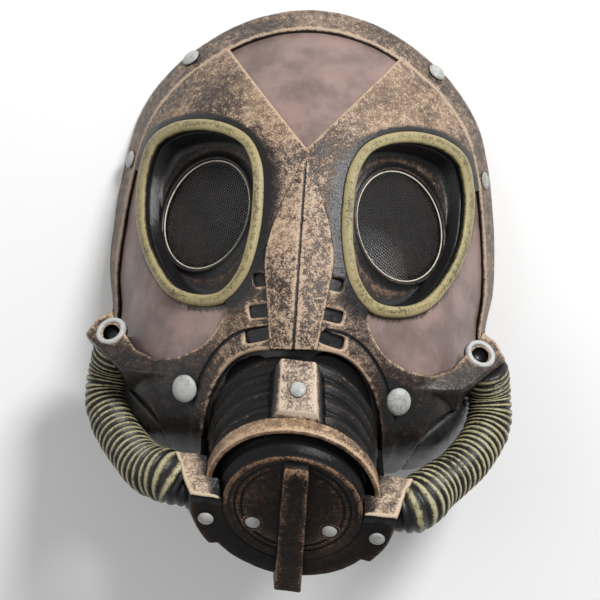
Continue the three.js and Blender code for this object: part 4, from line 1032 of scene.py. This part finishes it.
def build_hose(side, word):
    per, n = 10, 44
    count = HOSE_RIBS * per + 1
    middle = open_curve(hose_route(side), count, 0.5)
    tangents = np.gradient(middle, axis=0)
    tangents /= np.linalg.norm(tangents, axis=1, keepdims=True)
    normal = np.cross(tangents[0], (0, 0, 1.0))
    normals = []
    for t in tangents:
        normal = normal - t * normal.dot(t)
        normal /= np.linalg.norm(normal)
        normals.append(normal)
    r = np.random.default_rng(40 + (side > 0))
    tilt = r.normal(0, 0.05, HOSE_RIBS + 2)
    size = 1 + r.normal(0, 0.012, HOSE_RIBS + 2)
    loops, edge, hollow_and_shade = [], [], []
    angles = np.arange(n) * 2 * math.pi / n
    for i in range(count):
        phase = (i % per) / per
        rib = i // per
        bulge = math.sin(math.pi * phase) ** 0.7 if 0 < phase < 1 else 0
        share = i / count
        swell = (
            HOSE_END_RADIUS - HOSE_RADIUS
        ) * float(smooth((share - 0.6) / 0.25)) - 3.0 * float(smooth((share - 0.87) / 0.09))
        radius = (HOSE_RADIUS + swell - 1.3 + 1.3 * bulge) * (size[rib] if bulge > 0.2 else 1)
        lean = tangents[i] * (tilt[rib] * bulge)
        a, b = normals[i], np.cross(tangents[i], normals[i])
        ring = middle[i] + np.outer(np.cos(angles), a) * radius + np.outer(np.sin(angles), b) * radius
        ring += np.outer(np.cos(angles + rib), lean) * 6
        loops.append(ring)
        edge.append(0.8 * max(0, bulge - 0.6) / 0.4)
        # The last ribs, which run under the ear's ledge, are darkened with painted shadow.
        hollow_and_shade.append(1.3 * (1 - bulge) + 1.3 * float(smooth((share - 0.88) / 0.06)))
    loft(f"hose_{word}_tube", loops, edge, hollow_and_shade, material=hose_paint)


# Rim band


def true_width(angle, width):
    """Share of the reach at which the face has fallen a given width above its rim, measured along the face."""
    shares = np.concatenate([[1.0], 1 - np.geomspace(1e-5, 0.4, 220)])
    plan = rim_plan(np.full(len(shares), angle), shares)
    p = on_face(plan[:, 0], plan[:, 1])
    run = np.concatenate([[0], np.cumsum(np.linalg.norm(np.diff(p, axis=0), axis=1))])
    return np.interp(width, run, shares)


def build_band():
    steps = [(0.2, 0.0, 0.6, 0.3), (0.2, 1.3, 0.9, 0), (0.5, 1.9, 0.6, 0), (1.2, 2.2, 0.3, 0)]
    steps += [(w, 2.25 + 0.12 * math.sin(w), 0.1, 0) for w in (3, 5.5, 8, 10.5, 13, 15)]
    steps += [
        (16.6, 2.35, 0.5, 0), (17.4, 2.3, 1.0, 0), (17.85, 2.0, 1.0, 0), (18.1, 1.3, 0.6, 0.2), (18.2, 0.2, 0, 1),
        (17, 0.05, 0, 1), (9, 0.05, 0, 1)
    ]
    rows, edge, hollow_and_shade = [], [], []
    for angle in np.linspace(-6, 186, 400):
        shares = [true_width(angle, w) for w, *_ in steps]
        plan = rim_plan(np.full(len(steps), angle), np.array(shares))
        offset = np.array([s[1] for s in steps]) + 0.3
        offset[:-3] += 0.16 * float(bump_noise(np.array(angle * 2.0), np.array(0.0), 6, 22))
        p = on_face(plan[:, 0], plan[:, 1], offset)
        p[:, 2] = np.maximum(p[:, 2], 0.3)
        rows.append(p)
        edge.append([s[2] for s in steps])
        hollow_and_shade.append([s[3] for s in steps])
    strip("rim_band_strip", rows, edge, hollow_and_shade, material=band_paint)


# Sheets on the face


def rim_scaled(points, new_share):
    """Points moved from or to the middle, by a function of their share of the reach to the rim."""
    points = np.asarray(points, float)
    across, up = points[:, 0] / FACE_HALF_WIDTH, points[:, 1] / FACE_HALF_LENGTH
    share = np.hypot(across, up) / table_at(ANGLES, REACHES, np.degrees(np.arctan2(up, np.abs(across))))
    return points * np.where(share < 1e-6, 1, new_share(share) / np.maximum(share, 1e-6))[:, None]


def plan_to_even(plan):
    """Plan points moved outwards towards the rim, so that even spacing follows the steep sides."""
    return rim_scaled(plan, lambda share: np.arcsin(np.minimum(share, 1)))


def even_to_plan(even):
    return rim_scaled(even, lambda share: np.sin(np.minimum(share, math.pi / 2)))


def band_edge(angle_from, angle_to, count, width):
    return np.array([rim_plan(a, true_width(a, width)) for a in np.linspace(angle_from, angle_to, count)])


def mirrored(plan):
    return (np.asarray(plan, float) * (-1, 1))[::-1]


def shares(rows):
    return np.array(rows, float) * (FACE_HALF_WIDTH, FACE_HALF_LENGTH)


def arch_trace(clear, start=-30, end=210, count=120):
    """Plan line in which an oval tube round the muzzle meets the face."""
    out = []
    for a in np.radians(np.linspace(start, end, count)):
        top = BELLOWS_BASE[1] if math.sin(a) > 0 else BELLOWS_BASE[0]
        right, up = (BELLOWS_BASE[0] + clear) * math.cos(a), (top + clear) * math.sin(a)
        out.append(in_muzzle(right, up, face_hit(right, up, 0, -95, 24))[:2])
    return np.array(out)


LIP = 1.3
EYE_SEGMENTS = line_segments(np.vstack([eye_plan, eye_plan[:1]]))


def eye_gap(plan):
    """Distance in plan to the nearer eye's outline."""
    return np.minimum(distance(plan, EYE_SEGMENTS), distance(plan * (-1, 1), EYE_SEGMENTS))


def shell_sheet():
    rim = plan_to_even(rim_plan(np.arange(360)) * 0.99999)
    cuts = [plan_to_even(c) for c in (eye_inset(2.4), eye_inset(2.4) * (-1, 1), throat_trace())]

    def top(even, d, dl):
        plan = even_to_plan(even)
        x, y = plan[:, 0], plan[:, 1]
        soft = 0.3 * bump_noise(x, y, 2, 46) + 0.1 * bump_noise(x, y, 12, 14)
        crease = -1.2 * np.exp(-((np.abs(x) - 55) ** 2 / 300 + (y + 96) ** 2 / 500))
        p = on_face(x, y, (soft + crease) * smooth(d / 6) - 0.25 * (1 - smooth(d / 1.5)))
        p[:, 2] = np.maximum(p[:, 2], 0)
        return p

    def bottom(even, d, dl):
        plan = even_to_plan(even)
        p = on_face(plan[:, 0], plan[:, 1], -SHELL_WALL)
        p[:, 2] = np.maximum(p[:, 2], 0)
        return p

    def paint(even, d, dl):
        # No edge lightening on the leather; painted shade round the eye frames.
        return 0 * d, 0.75 * np.exp(-((eye_gap(even_to_plan(even)) / 2.6) ** 2))

    base = lambda e: on_face(*even_to_plan(e).T)
    obj = slab("mask_shell_skin", rim, cuts, top, bottom, spacing=2.0, base=base, paint=paint, material=leather)
    # Black latex below the wings, under the muzzle's arch, in the louvre slots and inside.
    obj.data.materials.append(black)
    middles = np.zeros(len(obj.data.polygons) * 3)
    obj.data.polygons.foreach_get("center", middles)
    middles = (middles.reshape(-1, 3) - SHIFT) / MM
    plan = middles[:, :2]
    within = inside(plan, np.vstack([arch_trace(3.0), [(-60, -120), (60, -120)]])) | (plan[:, 1] < -38)
    within |= (np.abs(plan[:, 0]) < 32) & (np.abs(plan[:, 1] - 8) < 24)
    within |= middles[:, 2] < face_height(plan[:, 0], plan[:, 1]) - 1.2
    obj.data.polygons.foreach_set("material_index", within.astype(np.int32))


def throat_trace():
    radius, out = BELLOWS_UNDER_RADIUS - 7.5, []
    for a in np.radians(np.arange(0, 360, 6)):
        right, up = radius * math.cos(a), radius * math.sin(a)
        out.append(in_muzzle(right, up, face_hit(right, up, 0, -110))[:2])
    return np.array(out)


# A point on the wing's crest, the slopes from it, and the eyelet's place
WING_X, WING_Y, WING_Z = 87.0, -28.0, 77.0
WING_ACROSS, WING_UP = 0.437, 0.896
EYELET = (91.0, -13.5)


def wing_roof(x, y):
    """Top of the wing: a flat face down from its crest to the leather, a steeper one below, and the crest turning up
    towards the tip."""
    crest = WING_Z - WING_ACROSS * (x - WING_X)
    crest = 84.3 - np.log1p(np.exp((84.3 - crest) / 1.2)) * 1.2
    turn_up = 0.62 * np.log1p(np.exp(x - 84))
    away = y - WING_Y - turn_up
    rise = np.sqrt(away**2 + 0.16)
    fall = 1.08 + 1.5 * smooth((x - 81) / 5)
    return crest + 0.4 - WING_UP * turn_up - np.where(away > 0, WING_UP, fall) * rise


PLATE_EDGE = [(0.6, 0.33), (0.31, 0.06), (0.35, -0.015), (0.42, -0.08), (0.53, -0.126), (0.65, -0.146)]
PLATE_WING = [
    (0.76, -0.127), (0.86, -0.062), (0.915, -0.028), (0.975, -0.05), (1.022, -0.098), (1.032, -0.135), (1.0, -0.19),
    (0.945, -0.243), (0.88, -0.262), (0.82, -0.262), (0.76, -0.268), (0.7, -0.277)
]
PLATE_LEG = [
    (0.655, -0.3), (0.62, -0.34), (0.594, -0.385), (0.576, -0.43), (0.562, -0.48), (0.55, -0.53), (0.3, -0.53)
]
BROW_TIP, BROW_CORNER, LEATHER_TOP, CHEEK_RIVET = 0.553, (0.44, 0.868), 0.475, (0.498, -0.223)
LOUVRES = [(0.165, 0.142, 7, 6, -12), (0.165, 0.047, 9.5, 6, -14), (0.165, -0.027, 12, 6.2, -18)]


def louvre_loops(side):
    loops = []
    for across, up, length, width, slope in LOUVRES:
        a = 2 * math.pi * (np.arange(24)[:, None] + 0.5) / 24
        round_box = np.hstack([np.cos(a), np.sin(a)])
        round_box = np.copysign(np.abs(round_box) ** 0.35, round_box) * (length / 2, width / 2)
        t = math.radians(slope)
        tilt = np.array([[math.cos(t), math.sin(t)], [-math.sin(t), math.cos(t)]])
        loops.append((round_box @ tilt + shares([(across, up)])) * (side, 1))
    return loops


def round_corners(points, radius_share=0.22):
    """Soften the corners of an open or closed polyline by cutting each twice."""
    pts = np.asarray(points, float)
    for _ in range(2):
        out = [pts[0]]
        for a, b, c in zip(pts[:-2], pts[1:-1], pts[2:]):
            out += [b + (a - b) * radius_share, b + (c - b) * radius_share]
        out.append(pts[-1])
        pts = np.array(out)
    return pts


def plate_sheet():
    angle = math.degrees(math.asin(LEATHER_TOP / 1.05))
    brow = [p for p in band_edge(angle, 62, 30, BAND_WIDTH - 0.4) if p[1] < FACE_HALF_LENGTH * BROW_CORNER[1] - 0.5]
    right = np.vstack([
        [(0, BROW_TIP * FACE_HALF_LENGTH)],
        shares([BROW_CORNER]),
        np.array(brow)[::-1],
        round_corners(shares(PLATE_EDGE), 0.2),
        round_corners(shares(PLATE_WING), 0.08),
        round_corners(shares(PLATE_LEG), 0.2),
    ])
    outline = np.vstack([right, mirrored(right)[:-1]])
    cuts = [eye_inset(1.2), eye_inset(1.2) * (-1, 1)]
    arch = arch_trace(0.8, -26, 206)
    cuts.append(np.vstack([arch, [(-40, -110), (40, -110)]]))
    for side in (1, -1):
        cuts += louvre_loops(side)
        a = np.linspace(0, 2 * math.pi, 29)[:-1, None]
        cuts.append((np.array(EYELET) + np.hstack([4.6 * np.cos(a), 3.9 * np.sin(a)])) * (side, 1))
    seams = [arch_trace(8.2, 14, 76, 60), arch_trace(8.2, 104, 166, 60)]
    arch_segments = line_segments(arch)

    def place(plan, offset):
        x, y = plan[:, 0], plan[:, 1]
        p = on_face(x, y, offset)
        roof = wing_roof(np.abs(x), y) + offset
        near = smooth((np.abs(x) - 50) / 9) * smooth((-y - 1) / 5) * smooth((y + 62) / 8)
        gap = np.clip((roof - p[:, 2]) / 1.3, -30, 30)
        over = (1 / (1 + np.exp(-gap))) * near
        lift = 1.3 * np.log1p(np.exp(-np.abs(gap))) * near
        q = np.stack([x, y, roof], 1)
        return p * (1 - over[:, None]) + q * over[:, None] + np.array([0, 0, 1.0]) * lift[:, None]

    rivet_x, rivet_y = shares([CHEEK_RIVET])[0]

    def top(plan, d, dl):
        x, y = plan[:, 0], plan[:, 1]
        arch_gap = distance(plan, arch_segments)
        lip = LIP * (1 - smooth((arch_gap - 5.2) / 2.4)) * smooth((y + 75) / 30)
        height = rounded(d, PLATE_THICKNESS + 0.2, 1.0) + lip
        height += 0.16 * bump_noise(x, y, 7, 26) * smooth(d / 3)
        height -= 0.8 * np.exp(-((dl / 0.36) ** 2))
        return place(plan, height)

    def bottom(plan, d, dl):
        return place(plan, np.full(len(plan), -1.2))

    def paint(plan, d, dl):
        arch_gap = distance(plan, arch_segments)
        edge = 0.9 * np.exp(-(((d - 0.3) / 0.9) ** 2)) + 0.6 * np.exp(-(((arch_gap - 0.5) / 1.6) ** 2)) + 0.2 * (
            1 - smooth((arch_gap - 5.2) / 2.4)
        )
        rivet_gap = np.hypot(np.abs(plan[:, 0]) - rivet_x, plan[:, 1] - rivet_y)
        # Dark seam grooves, and a ring of painted shade round the cheek rivet's foot.
        hollow_and_shade = np.exp(-((dl / 0.5) ** 2)) * 1.3 + 0.9 * np.exp(-(((rivet_gap - 6.4) / 1.3) ** 2))
        frame_gap = eye_gap(plan)
        # Painted shade along the eye frames.
        hollow_and_shade += 0.9 * np.exp(-((frame_gap / 1.1) ** 2))
        # Painted shade on the slopes down from the nose ridge to the eye frames.
        bridge = smooth(
            (EYE_CENTRE[0] - np.abs(plan[:, 0])) / 16
        ) * smooth((plan[:, 1] + 5) / 14) * smooth((92 - plan[:, 1]) / 20)
        hollow_and_shade += 0.55 * bridge * (1 - smooth(frame_gap / 9))
        edge *= 1 - np.exp(-((frame_gap / 2.5) ** 2))
        chin = 0.42 * smooth((-plan[:, 1] - 2) / 40)
        tan = 0.22 * smooth((plan[:, 1] + 20) / 60)
        return np.clip(edge + tan, 0, 1.2), np.clip(hollow_and_shade + chin, 0, 1.4)

    slab(
        "face_plate_sheet", outline, cuts, top, bottom, spacing=1.45, lines=seams,
        base=lambda p: place(p, np.zeros(len(p))), paint=paint, material=bronze,
        nodes=["face_plate", "cheek_wing_right", "cheek_wing_left"],
    )


RIDGE = [(0.012, 0.535), (0.07, 0.44), (0.125, 0.33), (0.158, 0.21), (0.128, 0.1), (0.09, -0.075)]


def ridge_sheet():
    right = round_corners(np.vstack([[(0, 0.548 * FACE_HALF_LENGTH)], shares(RIDGE)]), 0.2)
    outline = np.vstack([right, mirrored(right)])
    arch = arch_trace(0.8, 30, 150)
    cut = np.vstack([arch, [(-60, -60), (60, -60)]])
    seam = np.array([(0, 0.5 * FACE_HALF_LENGTH), (0, -0.16 * FACE_HALF_LENGTH)])

    def top(plan, d, dl):
        x, y = plan[:, 0], plan[:, 1]
        full = 2.75 + (RIDGE_THICKNESS - 2.75) * smooth((72 - y) / 46)
        height = full - 1.0 + rounded(d, 1.0, 1.0) + 0.9 * smooth(d / 9) - 0.55 * np.exp(-((dl / 0.32) ** 2))
        return on_face(x, y, height + 0.12 * bump_noise(x, y, 17, 20))

    def bottom(plan, d, dl):
        return on_face(plan[:, 0], plan[:, 1], 1.0)

    def paint(plan, d, dl):
        low = smooth((72 - plan[:, 1]) / 46)
        # Lighter along the lower edges, and painted highlight lines either side of the centre seam.
        rim = 0.6 * np.exp(-(((d - 0.4) / 0.8) ** 2)) * low + 0.35 * np.exp(-(((dl - 1.1) / 0.7) ** 2))
        # The dark centre seam, and a dark line along the ridge's border.
        groove = 0.9 * np.exp(-((dl / 0.35) ** 2)) + 0.5 * np.exp(-((d / 0.4) ** 2))
        return np.clip(rim + 0.3, 0, 1.2), groove

    slab(
        "nose_ridge_sheet", outline, [cut], top, bottom, spacing=1.45, lines=[seam], base=lambda p: on_face(*p.T),
        paint=paint, material=bronze,
    )


PAD = [
    (0.56, -0.505), (0.555, -0.445), (0.58, -0.395), (0.63, -0.345), (0.72, -0.295), (0.83, -0.26), (0.925, -0.275),
    (0.92, -0.36), (0.82, -0.45), (0.68, -0.52)
]


def pad_sheets():
    for side, word in SIDES:
        plan = closed_curve(shares(PAD), 120) * (side, 1)
        even = plan_to_even(plan)

        def top(e, d, dl):
            p = even_to_plan(e)
            return on_face(p[:, 0], p[:, 1], 0.35 + rounded(d, 2.0, 1.6) + 0.8 * smooth(d / 12))

        def bottom(e, d, dl):
            p = even_to_plan(e)
            return on_face(p[:, 0], p[:, 1], -0.8)

        def paint(e, d, dl):
            # A painted highlight line round the pad's border.
            return 0.5 * np.exp(-((d / 1.5) ** 2)), 0 * d

        base = lambda e: on_face(*even_to_plan(e).T)
        slab(f"jaw_pad_{word}_skin", even, [], top, bottom, spacing=1.8, base=base, paint=paint, material=black)


# Rivets and eyelets


def turned_head(name, point, normal, profile, edge, hollow_and_shade, squash=(1.0, 1.0), **rest):
    """A round piece about a normal, from a profile of radius and height."""
    normal = np.array(normal, float) / np.linalg.norm(normal)
    u = np.cross((0, 1.0, 0), normal)
    u /= np.linalg.norm(u)
    v = np.cross(normal, u)
    a = np.arange(40) * 2 * math.pi / 40
    loops = []
    for r, h in profile:
        x, y = np.cos(a) * (r * squash[0]), np.sin(a) * (r * squash[1])
        loops.append(point + np.outer(x, u) + np.outer(y, v) + normal * h)
    return loft(name, loops, edge, hollow_and_shade, **rest)


def rivet_head(node, point, normal, radius, washer=0.0, sunk=1.5, squash=(1.0, 1.0)):
    name, rim, height = node + "_head", 0.35, radius * 0.5
    rows = [(radius * 0.98, -sunk), (radius, 0.0), (radius, rim)]
    for t in np.linspace(0.12, math.pi / 2, 10):
        rows.append((max(radius * math.cos(t), 0.01), rim + (height - rim) * math.sin(t)))
    edge = [0, 0, 0.2] + [0.3 + 0.4 * k / 10 for k in range(10)]
    hollow_and_shade = [1, 1, 0.9, 0.5, 0.15] + [0.0] * 8
    turned_head(name, point, normal, rows, edge, hollow_and_shade, material=silver, squash=squash)
    if washer:
        outer = radius + washer
        ring = [
            (outer, -0.8), (outer, 0.25), (outer - 0.3, 0.75), (radius + washer * 0.55, 0.95), (radius + 0.35, 0.7),
            (radius + 0.1, 0.2), (radius - 0.3, -0.8),
        ]
        edge, hollow_and_shade = [0, 0.4, 1, 1, 0.6, 0, 0], [1, 0.6, 0, 0, 0.4, 1, 1]
        turned_head(name + "_washer", point, normal, ring, edge, hollow_and_shade, material=disc_paint, nodes=())


def face_head(node, across, up, offset, radius, side, **rest):
    x, y = side * across * FACE_HALF_WIDTH, up * FACE_HALF_LENGTH
    rivet_head(node, on_face([x], [y], offset)[0], face_normal(np.array([x]), np.array([y]))[0], radius, **rest)


def build_rivets():
    out = np.array(out_axis)
    for side, word in SIDES:
        face_head(f"cheek_rivet_{word}", *CHEEK_RIVET, 2.7, 6.5, side, squash=(0.94, 1.06))
        face_head(f"top_rivet_{word}", 0.606, 0.81, 2.6, 5.0, side)
        face_head(f"side_rivet_{word}", 0.875, 0.46, 2.6, 4.6, side)
        rivet_head(f"disc_rivet_{word}", in_muzzle(side * 18, -11.5, -1.35), out, 3.8, washer=1.9, sunk=0.8)
        rivet_head(f"ear_rivet_{word}", in_muzzle(side * 40.3, -12, -0.35), out, 3.8, sunk=0.8)
        normal = np.array([side * WING_ACROSS, WING_UP, 1.0])
        x, y = EYELET
        point = np.array([side * x, y, WING_Z - WING_ACROSS * (x - WING_X) - WING_UP * (y - WING_Y)])
        ring = [
            (4.7, -3.2), (4.75, 1.4), (5.1, 2.3), (5.8, 2.75), (6.8, 2.8), (7.5, 2.4), (8.0, 1.6), (8.2, 0.6),
            (8.1, -0.8), (6.5, -1.2),
        ]
        edge, hollow_and_shade = [0, 0, 0.5, 0.9, 0.9, 0.5, 0.2, 0, 0, 0], [1, 0.8, 0.2, 0, 0, 0, 0.2, 0.8, 1, 1]
        turned_head(f"eyelet_{word}_ring", point, normal, ring, edge, hollow_and_shade, closed_rows=True, material=silver)
        bore = [(5.0, -0.5), (4.4, -1.4), (3.2, -3.0), (0.01, -3.3)]
        turned_head(f"eyelet_{word}_bore", point, normal, bore, [0] * 4, [1] * 4, material=black, nodes=())
    share = 0.42
    out = STRAP_FRONT - STRAP_LENGTH * share
    up = STRAP_LOW + (STRAP_HIGH - STRAP_LOW) * share
    slope = math.atan((STRAP_HIGH - STRAP_LOW) / STRAP_LENGTH)
    normal = np.array(up_axis) * math.cos(slope) + np.array(out_axis) * math.sin(slope)
    rivet_head("strap_rivet", in_muzzle(0, up, out) + normal * 0.1, normal, 3.8, sunk=0.8)


shell_sheet()
plate_sheet()
ridge_sheet()
pad_sheets()
build_band()
build_canister()
build_collar()
build_guard()
build_ears()
build_bar()
build_strap()
build_bellows()
for side, word in SIDES:
    build_hose(side, word)
build_rivets()


# Floor and light

floor_mesh = bpy.data.meshes.new("floor")
size = 3.0
floor_mesh.from_pydata([(-size, -size, 0), (size, -size, 0), (size, size, 0), (-size, size, 0)], [], [(0, 1, 2, 3)])
floor = bpy.data.objects.new("floor", floor_mesh)
bpy.context.scene.collection.objects.link(floor)
floor_paint = bpy.data.materials.new("floor_paint")
floor_paint.use_nodes = True
floor_paint.node_tree.nodes["Principled BSDF"].inputs["Base Color"].default_value = (0.86, 0.86, 0.86, 1)
floor_paint.node_tree.nodes["Principled BSDF"].inputs["Roughness"].default_value = 0.9
floor_mesh.materials.append(floor_paint)

world = bpy.data.worlds.new("world")
world.use_nodes = True
world.node_tree.nodes["Background"].inputs[0].default_value = (1, 1, 1, 1)
world.node_tree.nodes["Background"].inputs[1].default_value = 0.4
bpy.context.scene.world = world


def area_light(name, place, target, size, power):
    data = bpy.data.lights.new(name, "AREA")
    data.shape = "DISK"
    data.size = size
    data.energy = power
    obj = bpy.data.objects.new(name, data)
    obj.location = place
    obj.rotation_euler = (Vector(target) - Vector(place)).to_track_quat("-Z", "Y").to_euler()
    bpy.context.scene.collection.objects.link(obj)


area_light("key", (0.6, 1.0, 0.95), (0, 0, 0.03), 0.42, 24)
area_light("fill", (-0.9, 0.1, 1.0), (0, 0, 0.05), 0.8, 3)
bpy.context.scene.view_settings.view_transform = "Standard"
